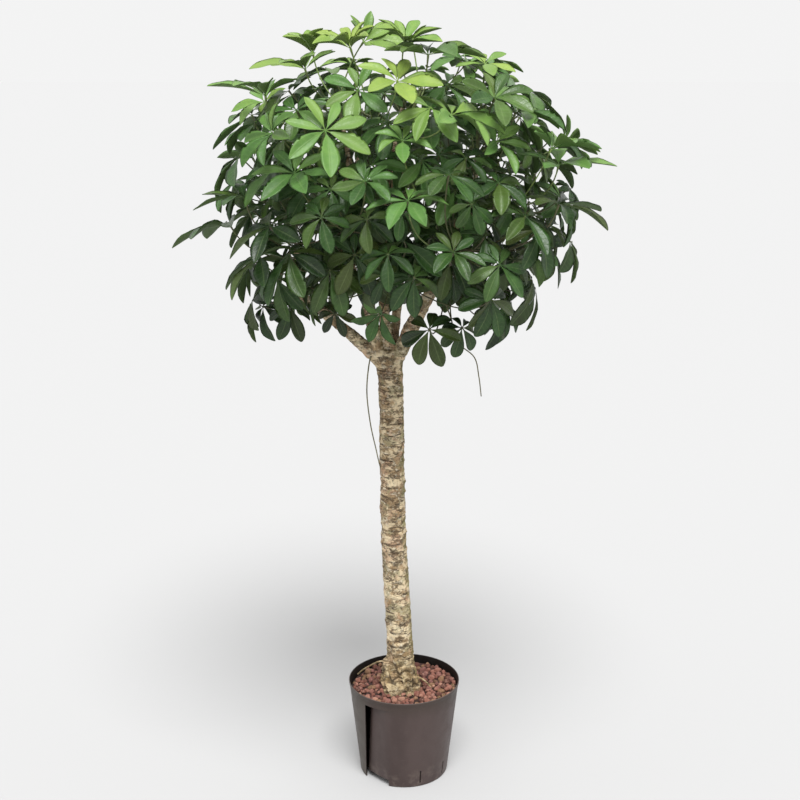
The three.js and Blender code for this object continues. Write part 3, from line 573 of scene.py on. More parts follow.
def fan_of_tips(hub, axis, reach, droop, draw):
    """The tips of a leaf's leaflets, spread round its axis with the long ones towards the low side."""
    low = np.array([0, 0, -1.0])
    forward = unit(low - axis * low.dot(axis) + 1e-6)
    across = np.cross(axis, forward)
    spin = draw.uniform(0, 1)
    tips = []
    for i in range(EXTRA_LEAFLETS):
        angle = math.radians(360 * (i + spin) / EXTRA_LEAFLETS + draw.uniform(-LEAFLET_SWAY, LEAFLET_SWAY))
        length = reach * mix(BACK_LEAFLET, 1, (1 + math.cos(angle)) / 2) * draw.uniform(*OWN_LENGTH)
        fall = math.radians(droop + draw.uniform(-LEAFLET_SWAY, LEAFLET_SWAY))
        out = forward * math.cos(angle) + across * math.sin(angle)
        tips.append(hub + out * length * math.cos(fall) - axis * length * math.sin(fall))
    return tips


def hides_fork(hub):
    """Whether a leaf there would hang before the fork, which shows between the leaves."""
    x, y, z = hub
    return y < 0 and z < FORK_VIEW_TOP and FORK_VIEW[0] < x < FORK_VIEW[1]


def place_within(draw):
    """A hub somewhere in the crown, with the leaf's axis, reach and droop: low leaves hang more."""
    height = draw.uniform(*EXTRA_HEIGHTS)
    direction = facing(draw.uniform(0, 360), math.degrees(math.asin(height)))
    depth = math.sqrt(draw.uniform(EXTRA_DEPTHS[0] ** 2, EXTRA_DEPTHS[1] ** 2))
    lean = np.array([draw.uniform(*way) for way in (LEAN_ASIDE, LEAN_ASIDE, LEAN_UP)])
    low = (EXTRA_HEIGHTS[1] - height) / (EXTRA_HEIGHTS[1] - EXTRA_HEIGHTS[0])
    droop = draw.uniform(mix(HIGH_DROOP[0], LOW_DROOP[0], low), mix(HIGH_DROOP[1], LOW_DROOP[1], low))
    axis = unit(direction * draw.uniform(*OUTWARD) + lean)
    return CROWN_CENTRE + direction * CROWN_HALF * depth, axis, draw.uniform(*EXTRA_REACH), droop


def place_near(aim, draw):
    """A hub near an aimed place at the crown's rim, with the leaf's axis, reach and droop."""
    hub, turn, rise, reach = aim
    turn, rise = turn + draw.uniform(-AIM_SWAY, AIM_SWAY), rise + draw.uniform(-AIM_SWAY, AIM_SWAY)
    hub = np.array(hub) + draw.uniform(-AIM_SPREAD, AIM_SPREAD, 3)
    return hub, facing(turn, rise), reach, draw.uniform(*HIGH_DROOP)


def lay_extra_leaves(shoots, known):
    """Leaves at the aimed places, then smaller ones where there is room, each with a petiole on a shoot."""
    draw = np.random.default_rng(CROWN_SEED)
    seats = np.concatenate([places_on(line, *SEAT_STRETCH, SEAT_STEPS) for line in shoots])
    taken = np.concatenate([leaf_marks(leaf) for leaf in known])
    hubs = np.array([leaf["hub"] for leaf in known])
    added = []
    for aim in AIMED_LEAVES + [None] * EXTRA_LEAVES:
        best = None
        for _ in range(EXTRA_TRIES):
            hub, axis, reach, droop = place_near(aim, draw) if aim else place_within(draw)
            tips = fan_of_tips(hub, axis, reach, droop, draw)
            nearest = norm(seats - (hub - axis * SEAT_BEHIND), axis=1).argmin()
            seat = seats[nearest]
            span = norm(hub - seat)
            room = norm(hubs - hub, axis=1).min()
            if best is not None and room <= best[0] or hides_fork(hub):
                continue
            if not EXTRA_PETIOLE[0] < span < EXTRA_PETIOLE[1]:
                continue
            if (hub - seat).dot(axis) < EXTRA_BEHIND * span:
                continue
            leaf = {"hub": hub, "axis": axis, "seat": seat, "tips": tips, "young": False}
            leaf["shoot"] = nearest // (SEAT_STEPS + 1)
            near = taken[norm(taken - hub, axis=1) < NEAR_LEAF]
            apart = norm(leaf_marks(leaf)[:, None] - near[None], axis=2)
            if apart.size == 0 or apart.min() > EXTRA_CLEARANCE:
                best = (room, leaf)
        if best is not None:
            added.append(best[1])
            taken = np.concatenate([taken, leaf_marks(best[1])])
            hubs = np.vstack([hubs, best[1]["hub"]])
    return added


# Materials


class Graph:
    """A material's nodes, made and linked in few words."""

    def __init__(self, name, roughness=0.5):
        self.material = bpy.data.materials.new(name)
        self.material.use_nodes = True
        self.tree = self.material.node_tree
        self.shader = self.tree.nodes["Principled BSDF"]
        self.shader.inputs["Roughness"].default_value = roughness
        self.place = self.node("TexCoord")["Object"]

    def feed(self, socket, value):
        if isinstance(value, bpy.types.NodeSocket):
            self.tree.links.new(value, socket)
        else:
            socket.default_value = value

    def node(self, kind, inputs=None, **settings):
        """Makes a node with these inputs and settings, and returns its outputs."""
        made = self.tree.nodes.new(f"ShaderNode{kind}")
        for key, value in settings.items():
            setattr(made, key, value)
        for key, value in (inputs or {}).items():
            self.feed(made.inputs[key], value)
        return made.outputs

    def value(self, name):
        return self.node("Attribute", attribute_name=name)["Fac"]

    def math(self, operation, a, b=0.0):
        return self.node("Math", {0: a, 1: b}, operation=operation)[0]

    def plus(self, a, b):
        return self.math("ADD", a, b)

    def minus(self, a, b):
        return self.math("SUBTRACT", a, b)

    def times(self, a, b):
        return self.math("MULTIPLY", a, b)

    def axes(self, vector):
        """The x, y and z of a vector."""
        return self.node("SeparateXYZ", {0: vector})

    def noise(self, scale, detail=4, stretch=(1, 1, 1), roughness=0.55):
        place = self.node("Mapping", {"Vector": self.place, "Scale": stretch})[0]
        inputs = {"Vector": place, "Scale": scale, "Detail": detail, "Roughness": roughness}
        return self.node("TexNoise", inputs)["Fac"]

    def cells(self, scale):
        return self.node("TexVoronoi", {"Vector": self.place, "Scale": scale})["Distance"]

    def fade(self, value, low, high, start=0.0, end=1.0):
        inputs = {"Value": value, "From Min": low, "From Max": high, "To Min": start, "To Max": end}
        return self.node("MapRange", inputs, interpolation_type="SMOOTHSTEP")["Result"]

    def ramp(self, value, stops):
        outputs = self.node("ValToRGB", {"Fac": value})
        elements = outputs[0].node.color_ramp.elements
        while len(elements) < len(stops):
            elements.new(0.5)
        for element, (place, colour) in zip(elements, stops):
            element.position = place
            element.color = (*colour, 1)
        return outputs["Color"]

    def blend(self, share, a, b):
        a, b = (colour if isinstance(colour, bpy.types.NodeSocket) else (*colour, 1) for colour in (a, b))
        return self.node("Mix", {"Factor": share, "A": a, "B": b}, data_type="RGBA")["Result"]

    def bump(self, height, distance, strength=1.0):
        return self.node("Bump", {"Height": height, "Distance": distance, "Strength": strength})["Normal"]

    def finish(self, colour, roughness=None, normal=None):
        for key, value in (("Base Color", colour), ("Roughness", roughness), ("Normal", normal)):
            if value is not None:
                self.feed(self.shader.inputs[key], value)
        return self.material


LEAF_GLOSS = {"shoot": 0.34, "young": 0.42}
LEAF_SPECULAR = 0.36
# leaf colours by tone: young leaves are paler than mature ones, and the tone also holds painted light high
# in the crown and painted shade low in it
LEAF_TONES = [
    (0.0, (0.010, 0.026, 0.006)),
    (0.3, (0.031, 0.082, 0.016)),
    (0.6, (0.088, 0.202, 0.042)),
    (0.85, (0.150, 0.285, 0.060)),
    (1.0, (0.225, 0.350, 0.070)),
]
BACKLIT = (0.340, 0.400, 0.070)
UNDERSIDE = (0.085, 0.135, 0.042)
MIDRIB = (0.210, 0.290, 0.110)
SIDE_VEINS = 9
FULL_TURN = 6.283


def leaf_material(name, gloss):
    """A leathery blade: paler midrib, faint side veins, blotches, and a dull pale underside."""
    g = Graph(name)
    g.shader.inputs["Specular IOR Level"].default_value = LEAF_SPECULAR
    off_middle = g.math("ABSOLUTE", g.value("side"))
    along = g.value("along")
    blotch = g.fade(g.noise(45, 3), 0.3, 0.7, -0.07, 0.07)
    # the tone holds the leaf's age and its painted light and shade by height
    colour = g.ramp(g.plus(g.value("tone"), blotch), LEAF_TONES)
    # painted backlight: a yellow-green glow mixed into leaves at the top and rim of the crown
    colour = g.blend(g.times(g.value("warm"), 0.6), colour, BACKLIT)
    rib = g.fade(off_middle, 0.025, 0.085, 1, 0)
    veins = g.math("SINE", g.times(g.minus(g.times(along, SIDE_VEINS), off_middle), FULL_TURN))
    vein = g.fade(veins, 0.8, 1)
    colour = g.blend(g.times(vein, 0.07), colour, MIDRIB)
    colour = g.blend(g.times(rib, 0.22), colour, MIDRIB)
    under = g.value("under")
    colour = g.blend(g.times(under, 0.65), colour, UNDERSIDE)
    roughness = g.plus(g.fade(g.noise(160, 2), 0.3, 0.7, gloss - 0.06, gloss + 0.08), g.times(under, 0.25))
    height = g.minus(g.fade(g.noise(350, 3), 0.3, 0.7, 0, 0.35), g.plus(rib, g.times(vein, 0.5)))
    return g.finish(colour, roughness, g.bump(height, 0.0004, 0.7))


def stem_material():
    g = Graph("stem")
    blotch = g.fade(g.noise(120, 4), 0.3, 0.7, -0.25, 0.25)
    colour = g.ramp(g.plus(g.value("tone"), blotch), [
        (0.0, (0.09, 0.075, 0.035)), (0.4, (0.10, 0.12, 0.04)), (1.0, (0.22, 0.32, 0.08)),
    ])
    return g.finish(colour, g.fade(g.noise(300, 2), 0.3, 0.7, 0.4, 0.6), g.bump(g.noise(500, 3), 0.0004))


# The crown

SHOOT_SEED = (5, 7)
SEAT_SEARCH_STEPS = 60

shoots = lay_shoots()
blade_materials = {kind: leaf_material(f"leaf_{kind}", gloss) for kind, gloss in LEAF_GLOSS.items()}
stalk_material = stem_material()


def build_shoot(k, line, kind, stretch, radii, leaves):
    node = f"{kind}_{k + 1:02d}"
    draw = np.random.default_rng([k, *SHOOT_SEED])
    builder = Builder()
    add_stem(builder, line, *stretch, radii, TIP_LENGTH if kind == "young" else 0)
    places = places_on(line, *stretch, SEAT_SEARCH_STEPS)
    for leaf in leaves:
        leaf["seat"] = places[norm(places - leaf["seat"], axis=1).argmin()]
        add_leaf(builder, leaf, draw)
    piece = builder.build(f"leafy_{node}", [blade_materials[kind], stalk_material])
    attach(piece, "root")
    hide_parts(node)


def build_crown():
    """Each shoot and young tip as a piece with its own leaves, and the extra ones on the shoots."""
    known = {}
    for k in range(SHOOTS):
        for kind in ("shoot", "young"):
            known[kind, k] = read_leaves(f"{kind}_{k + 1:02d}")
    extra = lay_extra_leaves(shoots, [leaf for leaves in known.values() for leaf in leaves])
    for leaf in extra:
        known["shoot", leaf["shoot"]].append(leaf)
    stretches = {
        "shoot": ((GREEN_START, YOUNG_START), (SHOOT_RADIUS, YOUNG_RADIUS)),
        "young": ((YOUNG_START, 1), (YOUNG_RADIUS, TIP_RADIUS)),
    }
    for k, line in enumerate(shoots):
        for kind, (stretch, radii) in stretches.items():
            build_shoot(k, line, kind, stretch, radii, known[kind, k])


build_crown()

# The wood

WOOD_VOXEL = 2.6
WHOLE_TURN = (0, 2 * math.pi)
TRUNK_SEED = 11
TRUNK_STEP = 6
TRUNK_CORNERS = 36
BRANCH_STEPS = 50
BRANCH_CORNERS = 16
TWIG_STEPS = 16
TWIG_CORNERS = 8
ROOT_STEPS = 60
ROOT_CORNERS = 8
WOOD_START = 120
SMOOTHING = 6
SCAR_SPACING = (13, 30)
BARK_WAVES = [(1 / 45, 1.6), (1 / 14, 1.3), (1 / 6, 1.0)]  # one over the width, and the depth
SCAR_DEPTH = 1.5
SCAR_WIDTH = 1.8
SCAR_LIP = (4, 2.5)  # how far above the scar, and how wide
SCAR_STRETCH = (190, 860)
SCAR_TILT = (1, 5)
SCAR_STRENGTH = (0.55, 1.1)
KNOBS = 60
KNOB_STRETCH = (230, 850)
KNOB_HEIGHT = (1.4, 3.2)
KNOB_RADIUS = (3, 5.5)
FOOT_ROOTS = [  # radius and route
    (9, [(-14, -2, 262), (-30, -5, 240), (-38, -8, 226), (-35, -16, 206), (-28, -26, 190), (-22, -35, 170)]),
    (7, [(-8, -14, 250), (-20, -22, 222), (-14, -30, 196), (-6, -37, 172)]),
    (8, [(10, -14, 236), (20, -20, 205), (29, -24, 170)]),
    (4.5, [(-34, -14, 232), (-30, -26, 214), (-20, -34, 196), (-12, -42, 172)]),
    (4, [(-40, -10, 226), (-40, -20, 208), (-33, -30, 192), (-24, -40, 172)]),
    (4, [(-42, -4, 218), (-45, -12, 202), (-42, -22, 188), (-36, -32, 172)]),
    (4.5, [(-20, -22, 244), (-10, -31, 224), (0, -34, 202), (8, -37, 174)]),
    (4, [(6, -26, 236), (14, -29, 214), (15, -33, 194), (20, -36, 172)]),
]
SURFACE_ROOTS = [
    [(-30, 4, 228), (-50, 12, 224), (-68, 26, 208), (-84, 38, 192), (-94, 44, 180)],
    [(22, -4, 200), (36, -8, 196), (48, -10, 186), (56, -12, 174)],
]
SURFACE_ROOT_RADIUS = 2
FOOT_FADE = (290, 200)
TRUNK_FADE = (875, 845)
TRUNK_X = -20
THIN_ROOT_TAPER = 0.75
FOOT_ROOT_TAPER = 0.8
AERIAL_GREEN = 0.85
WRINKLES = [((1 / 26, 1 / 26, 1 / 7), 2.2), ((1 / 9, 1 / 9, 1 / 20), 1.6)]  # waves in x, y and z, and depth


def trunk_at(z):
    """The trunk's x, radius and flare at a height."""
    heights = [row[0] for row in TRUNK_LINE]
    return [np.interp(z, heights, [row[i] for row in TRUNK_LINE]) for i in (1, 2, 3)]


def flare_at(angle):
    """How far the roots swell the foot of the trunk in a direction, in degrees from +X."""
    total = 0
    for turn, reach in ROOT_FLARES:
        apart = abs(((angle - (turn - 90)) % 360 + 540) % 360 - 180)
        total += reach * math.exp(-((apart / FLARE_WIDTH) ** 2))
    return total


def add_trunk(builder):
    heights = np.arange(WOOD_START, TRUNK_LINE[-1][0] + 1, TRUNK_STEP)
    rings = []
    for z in heights:
        x, radius, flare = trunk_at(z)
        for i in range(TRUNK_CORNERS):
            angle = 360 * i / TRUNK_CORNERS
            r = radius + flare * flare_at(angle)
            rings.append((x + r * math.cos(math.radians(angle)), r * math.sin(math.radians(angle)), z))
    builder.add(np.array(rings), skin_faces(len(heights), TRUNK_CORNERS))


def fused(builder, voxel):
    """The builder's closed shells as one skin, in millimetres: its points, normals and faces."""
    rough = builder.build("rough", [])
    remesh = rough.modifiers.new("fuse", "REMESH")
    remesh.mode = "VOXEL"
    remesh.voxel_size = voxel * MM
    smoothing = rough.modifiers.new("smooth", "SMOOTH")
    smoothing.iterations = SMOOTHING
    evaluated = rough.evaluated_get(bpy.context.evaluated_depsgraph_get())
    mesh = bpy.data.meshes.new_from_object(evaluated)
    points = np.zeros(len(mesh.vertices) * 3)
    mesh.vertices.foreach_get("co", points)
    normals = np.array([normal.vector for normal in mesh.vertex_normals])
    faces = [list(face.vertices) for face in mesh.polygons]
    bpy.data.objects.remove(rough)
    bpy.data.meshes.remove(mesh)
    return points.reshape(-1, 3) / MM, normals, faces


def scar_rings(draw):
    """Heights, tilts, turns and strengths of the rings that fallen leaves left round the trunk."""
    rings = []
    z, highest = SCAR_STRETCH
    while z < highest:
        z += draw.uniform(*SCAR_SPACING)
        rings.append([z] + [draw.uniform(*ends) for ends in (SCAR_TILT, WHOLE_TURN, SCAR_STRENGTH)])
    return rings


def knobs_on_trunk(draw):
    """Places, radii and heights of the small snags on the trunk."""
    knobs = []
    for _ in range(KNOBS):
        z = draw.uniform(*KNOB_STRETCH)
        x, radius, _ = trunk_at(z)
        angle = draw.uniform(*WHOLE_TURN)
        place = (x + radius * math.cos(angle), radius * math.sin(angle), z)
        knobs.append((np.array(place), draw.uniform(*KNOB_RADIUS), draw.uniform(*KNOB_HEIGHT)))
    return knobs


def waves(points, scale):
    """Smooth noise at each point, from about -1 to 1, with so many waves a millimetre along each axis."""
    return np.array([noise.noise(Vector(p * scale)) for p in points])


def bark_relief(points):
    """How far the bark stands out at each point, in millimetres, and how dark it is there: scars and cracks,
    and painted shade under each snag.
    """
    draw = np.random.default_rng(TRUNK_SEED)
    out = np.zeros(len(points))
    dark = np.zeros(len(points))
    for scale, depth in BARK_WAVES:
        out += depth * waves(points, scale)
    foot = smooth(*FOOT_FADE, points[:, 2])
    for scale, depth in WRINKLES:
        fold = waves(points, np.array(scale))
        out -= foot * depth * smooth(0.05, -0.35, fold)
        dark = np.maximum(dark, 0.8 * foot * smooth(-0.22, -0.4, fold))
    on_trunk = smooth(*TRUNK_FADE, points[:, 2])
    angle = np.arctan2(points[:, 1], points[:, 0] - TRUNK_X)
    for z, tilt, turn, strength in scar_rings(draw):
        off = points[:, 2] - z - tilt * np.cos(angle - turn)
        part = on_trunk * strength * smooth(-0.2, 0.5, np.cos(2 * angle + 3 * turn))
        cut = np.exp(-((off / SCAR_WIDTH) ** 2))
        lip = np.exp(-(((off - SCAR_LIP[0]) / SCAR_LIP[1]) ** 2))
        out -= part * SCAR_DEPTH * (cut - 0.5 * lip)
        dark = np.maximum(dark, part * cut)
    for place, radius, height in knobs_on_trunk(draw):
        away = norm(points - place, axis=1) / radius
        out += height * np.exp(-(away ** 2))
        # painted shade: a dark arc on the lower side of each snag
        below = smooth(-0.1, 0.5, (place[2] - points[:, 2]) / radius)
        dark = np.maximum(dark, 0.75 * below * smooth(0.6, 0.2, np.abs(away - 1.1)))
    return out, dark


def bark_material():
    """Mottled bark: tan and grey-brown patches, green and pink stains, pale flakes, dark scars and pits,
    painted shade under the snags, and an olive tint on the side facing +X.
    """
    g = Graph("bark")
    coarse = g.times(g.noise(34, 7, (1, 1, 1.5), 0.66), 0.75)
    patch = g.plus(coarse, g.times(g.noise(130, 4), 0.25))
    colour = g.ramp(patch, [
        (0.40, (0.240, 0.158, 0.078)), (0.465, (0.400, 0.284, 0.158)), (0.485, (0.460, 0.338, 0.192)),
        (0.495, (0.620, 0.490, 0.310)), (0.56, (0.670, 0.540, 0.345)), (0.60, (0.750, 0.630, 0.420)),
    ])
    green = g.fade(g.noise(30, 5, (1, 1, 1.5), 0.6), 0.53, 0.58, 0, 0.55)
    colour = g.blend(green, colour, (0.270, 0.255, 0.140))
    pink = g.fade(g.noise(27, 5, (1.1, 1, 1.2), 0.6), 0.54, 0.59, 0, 0.5)
    colour = g.blend(pink, colour, (0.500, 0.310, 0.205))
    flake = g.fade(g.noise(85, 6, (1, 1, 1.5), 0.7), 0.55, 0.60, 0, 0.8)
    colour = g.blend(flake, colour, (0.740, 0.650, 0.480))
    edge = g.fade(g.math("ABSOLUTE", g.minus(patch, 0.488)), 0.008, 0.022, 1, 0)
    edge = g.times(edge, g.fade(g.noise(60, 3), 0.46, 0.54))
    level = g.math("ABSOLUTE", g.minus(g.noise(24, 5, (1, 1, 3.4), 0.6), 0.5))
    crack = g.times(g.fade(level, 0.012, 0.034, 1, 0), g.fade(g.noise(38, 3, (1, 1, 2)), 0.45, 0.53))
    lines = g.math("MAXIMUM", g.times(edge, 0.65), g.times(crack, 0.85))
    colour = g.blend(lines, colour, (0.085, 0.053, 0.026))
    pits = g.fade(g.noise(190, 5, (1, 1, 1.4), 0.65), 0.60, 0.65, 0, 0.8)
    colour = g.blend(pits, colour, (0.070, 0.044, 0.020))
    # dark: scars and cracks, and the painted shade under the snags
    dark = g.times(g.fade(g.value("dark"), 0.25, 0.7), g.fade(g.noise(120, 4), 0.35, 0.55, 0.5, 1.0))
    # an olive tint on the side of the trunk that faces +X
    towards_x = g.axes(g.node("TexCoord")["Normal"])[0]
    olive_side = g.times(g.fade(towards_x, 0.6, 0.98), g.fade(g.noise(60, 4), 0.42, 0.56))
    colour = g.blend(g.times(olive_side, 0.6), colour, (0.190, 0.175, 0.035))
    foot = g.fade(g.axes(g.place)[2], 0.29, 0.21, 0, 0.5)
    colour = g.blend(foot, colour, (0.290, 0.205, 0.090))
    colour = g.blend(g.times(dark, 0.9), colour, (0.055, 0.034, 0.016))
    colour = g.blend(g.value("green"), colour, (0.165, 0.165, 0.090))
    relief = g.plus(g.times(flake, 0.4), g.noise(260, 6))
    relief = g.minus(relief, g.times(g.plus(lines, pits), 0.6))
    return g.finish(colour, g.fade(g.noise(200, 3), 0.3, 0.7, 0.75, 0.95), g.bump(relief, 0.003, 0.9))


def build_wood():
    """The trunk, its branches and its foot's roots fused into one bark, with the twigs and thin roots."""
    builder = Builder()
    add_trunk(builder)
    for line, (thick, thin, _) in zip(branch_lines, BRANCHES):
        add_limb(builder, line, (0, 1), BRANCH_STEPS, (thick, thin), BRANCH_CORNERS)
    for radius, route in FOOT_ROOTS:
        radii = (radius * FOOT_ROOT_TAPER, radius)
        add_limb(builder, smooth_line(route), (0, 1), ROOT_STEPS, radii, BRANCH_CORNERS)
    points, normals, faces = fused(builder, WOOD_VOXEL)
    out, dark = bark_relief(points)
    wood = Builder()
    wood.add(points + normals * out[:, None], faces, dark=dark)
    for line in shoots:
        add_limb(wood, line, (0, GREEN_START), TWIG_STEPS, (TWIG_RADIUS, SHOOT_RADIUS), TWIG_CORNERS)
    thin_roots = [(route, AERIAL_ROOT_RADIUS, AERIAL_GREEN) for route in AERIAL_ROOTS]
    thin_roots += [(route, SURFACE_ROOT_RADIUS, 0) for route in SURFACE_ROOTS]
    for route, radius, green in thin_roots:
        radii = (radius, radius * THIN_ROOT_TAPER)
        add_limb(wood, smooth_line(route), (0, 1), ROOT_STEPS, radii, ROOT_CORNERS, green=green)
    piece = wood.build("trunk_bark", [bark_material()])
    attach(piece, "root")
    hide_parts("trunk")


build_wood()

# The pot

FOOT_ROUND = 2.2
RIM_ROUND = 0.9
RIM_BAND = POT_HEIGHT - 6
RIM_SOFTEN = 0.8
BAND_STEP = 0.8
BAND_EASE = 2
STEP_WIDTH = 0.6
INSIDE_SHADE = 0.9
GROOVE_MARGIN = (-2 * STEP_WIDTH, 0, 2 * STEP_WIDTH)
SLOT_SPREAD_TURN = 10
SLOT_FOOT_SPREAD = 4
SLOT_EXTRA = 9
SLOT_EDGE = (1.2, 0.7)
SLOT_TURNS = [1.2, 2.4, 3.6, 4.8, 6, 7.5, 9, 10.5, 12]
EASE_FROM = -34
EASE_WINDOW = (-6, -3, 0, 3, 6)
SHADE_SPREAD = 21
SHADE_FALL = 0.5
NOTCH_SHADE = 0.7
SLOT_SHADE = 0.7
SHADE_OFFSET = 0.1 * STEP_WIDTH
CREASE = math.radians(35)
PLASTIC_SPECULAR = 0.35
POT_TURN_STEP = 3
SLIT_SPREAD = math.degrees(SLIT_WIDTH / 2 / POT_FOOT_RADIUS)
LEDGE = 0.4
STEP_START = -49
WARP_START = -90
LEDGE_RISES = (-LEDGE, 0, POT_WALL - LEDGE, POT_WALL)
POT_LEVELS = sorted(
    {0, 0.6, 1.4, POT_WALL, 2.2, 5, SLIT_BOTTOM, 20, 28, SLIT_TOP, 60, 85, 110, 135, 160, 183, 186, RIM_BAND}
    | {edge + rise for edge in (FOOT_NOTCH_HEIGHT, GROOVE_TOP) for rise in LEDGE_RISES}
    | {POT_HEIGHT - drop for drop in (3, 0.9, 0.6, 0.3, 0.1, 0)}
)


def wall_radius(z):
    return mix(POT_FOOT_RADIUS, POT_RIM_RADIUS, z / POT_HEIGHT)


def within(turn):
    """The same turn between -180 and 180."""
    return (turn + 180) % 360 - 180


def real_turn(turn, z):
    """Where a column of the wall stands at a height: the groove's deep side is upright, so columns shift."""
    turn = within(turn)
    if not WARP_START < turn < GROOVE_END:
        return turn
    start = math.degrees(math.asin(GROOVE_SIDE / wall_radius(z)))
    if turn < STEP_START:
        return mix(WARP_START, start, (turn - WARP_START) / (STEP_START - WARP_START))
    return mix(start, GROOVE_END, (turn - STEP_START) / (GROOVE_END - STEP_START))


def on_circle(radius, turn):
    return np.array([radius * math.sin(math.radians(turn)), -radius * math.cos(math.radians(turn))])


def groove_at(turn, z):
    """How far back, along Y, the groove's flat face or the notch lies behind the plain cone."""
    if z >= GROOVE_TOP or not STEP_START <= within(turn) < GROOVE_END:
        return 0
    radius = wall_radius(z)
    depth = mix(GROOVE_FOOT_DEPTH, GROOVE_DEPTH, z / GROOVE_TOP)
    first = on_circle(radius - depth, real_turn(STEP_START, z))
    last = on_circle(radius, GROOVE_END)
    place = on_circle(radius, real_turn(turn, z))
    slope = (last[1] - first[1]) / (last[0] - first[0])
    notch = FOOT_NOTCH_DEPTH if z < FOOT_NOTCH_HEIGHT else 0
    return last[1] + slope * (place[0] - last[0]) - place[1] + notch


def slot_at(turn, z):
    """How much of the narrow slot beside the groove's deep side is left at a column and a height."""
    if not FOOT_NOTCH_HEIGHT <= z < GROOVE_TOP or not STEP_START <= within(turn) < GROOVE_END:
        return 0
    spread = mix(SLOT_FOOT_SPREAD, SLOT_SPREAD_TURN, z / GROOVE_TOP)
    return float(smooth(*(STEP_START + share * spread for share in SLOT_EDGE), within(turn)))


def depth_at(turn, z):
    """The groove's depth with its shallow edge eased and the slot cut in beside its deep side."""
    place = within(turn)
    if z < FOOT_NOTCH_HEIGHT or not EASE_FROM < place < GROOVE_END + EASE_WINDOW[-1]:
        return groove_at(turn, z) + SLOT_EXTRA * slot_at(turn, z)
    return sum(groove_at(turn + step, z) for step in EASE_WINDOW) / len(EASE_WINDOW)


def inner_depth(turn, z):
    """How far back the inner skin lies, so that the wall keeps its thickness round the groove's edges."""
    return max(depth_at(turn + step, z - drop) for step in GROOVE_MARGIN for drop in (0, POT_WALL))


def shade_at(turn, z):
    """The painted shade in the groove: black in its slot, fading along its flat face."""
    if z >= GROOVE_TOP or not STEP_START <= within(turn) < GROOVE_END:
        return 0
    if z < FOOT_NOTCH_HEIGHT:
        return NOTCH_SHADE
    along_face = float(smooth(STEP_START + SHADE_SPREAD, STEP_START, within(turn)))
    return max(slot_at(turn, z), SHADE_FALL * along_face)


def wall_turns():
    """The turns at which the wall has corners: an even spread, the groove's edges and the slits'."""
    turns = {float(turn) for turn in range(0, 360, POT_TURN_STEP)}
    turns |= {STEP_START % 360 + step for step in SLOT_TURNS}
    for edge in (STEP_START % 360, GROOVE_END % 360):
        turns |= {edge - STEP_WIDTH, edge - STEP_WIDTH / 2, edge}
    for slit in SLIT_ANGLES:
        turns = {turn for turn in turns if abs(turn - slit) > SLIT_SPREAD}
        turns |= {slit - SLIT_SPREAD, slit + SLIT_SPREAD}
    return sorted(turns)


def corner_inset(radius, past):
    """How far a rounded corner draws in at a place that lies so far past where the rounding starts."""
    past = min(max(past, 0), radius)
    return radius - math.sqrt(radius ** 2 - past ** 2)


def rim_inset(z):
    return RIM_SOFTEN * corner_inset(RIM_ROUND, z - POT_HEIGHT + RIM_ROUND)


def edge_round(z):
    """How far the outer skin draws in at the foot, below the rim's band and at the rim."""
    band = BAND_STEP * float(smooth(RIM_BAND, RIM_BAND - BAND_EASE, z))
    return corner_inset(FOOT_ROUND, FOOT_ROUND - z) + rim_inset(z) + band


def wall_place(turn, z, inset, push=0):
    """A point so far inside the plain cone of the wall's outer skin, and pushed back so far along Y."""
    x, y = on_circle(wall_radius(z) - inset, real_turn(turn, z))
    return x, y + push, z


def is_open(turn_a, turn_b, z_a, z_b):
    """Whether a cell of the wall lies in a drainage slit."""
    middle = (turn_a + turn_b) / 2
    in_slit = any(abs(middle - slit) < SLIT_SPREAD for slit in SLIT_ANGLES)
    return in_slit and z_a >= SLIT_BOTTOM and z_b <= SLIT_TOP


def pot_faces(turns):
    """The faces of the outer and the inner skin, joined at the slits and the rim, with both floors."""
    columns, rows = len(turns), len(POT_LEVELS)
    floor_row = POT_LEVELS.index(POT_WALL)
    inner = columns * rows
    faces = []
    for row in range(rows - 1):
        below, above = POT_LEVELS[row], POT_LEVELS[row + 1]
        for i in range(columns):
            j = (i + 1) % columns
            after = turns[j] if j else turns[0] + 360
            a, b = row * columns + i, row * columns + j
            if is_open(turns[i], after, below, above):
                faces += [[a, a + columns, inner + a + columns, inner + a]]
                faces += [[b, inner + b, inner + b + columns, b + columns]]
                if below == SLIT_BOTTOM:
                    faces.append([a, inner + a, inner + b, b])
                if above == SLIT_TOP:
                    faces.append([a + columns, b + columns, inner + b + columns, inner + a + columns])
                continue
            faces.append([a, b, b + columns, a + columns])
            if row >= floor_row:
                faces.append([inner + a, inner + a + columns, inner + b + columns, inner + b])
    top = (rows - 1) * columns
    for i in range(columns):
        j = (i + 1) % columns
        faces.append([top + i, top + j, inner + top + j, inner + top + i])
    faces.append([columns - 1 - i for i in range(columns)])
    faces.append([inner + floor_row * columns + i for i in range(columns)])
    return faces


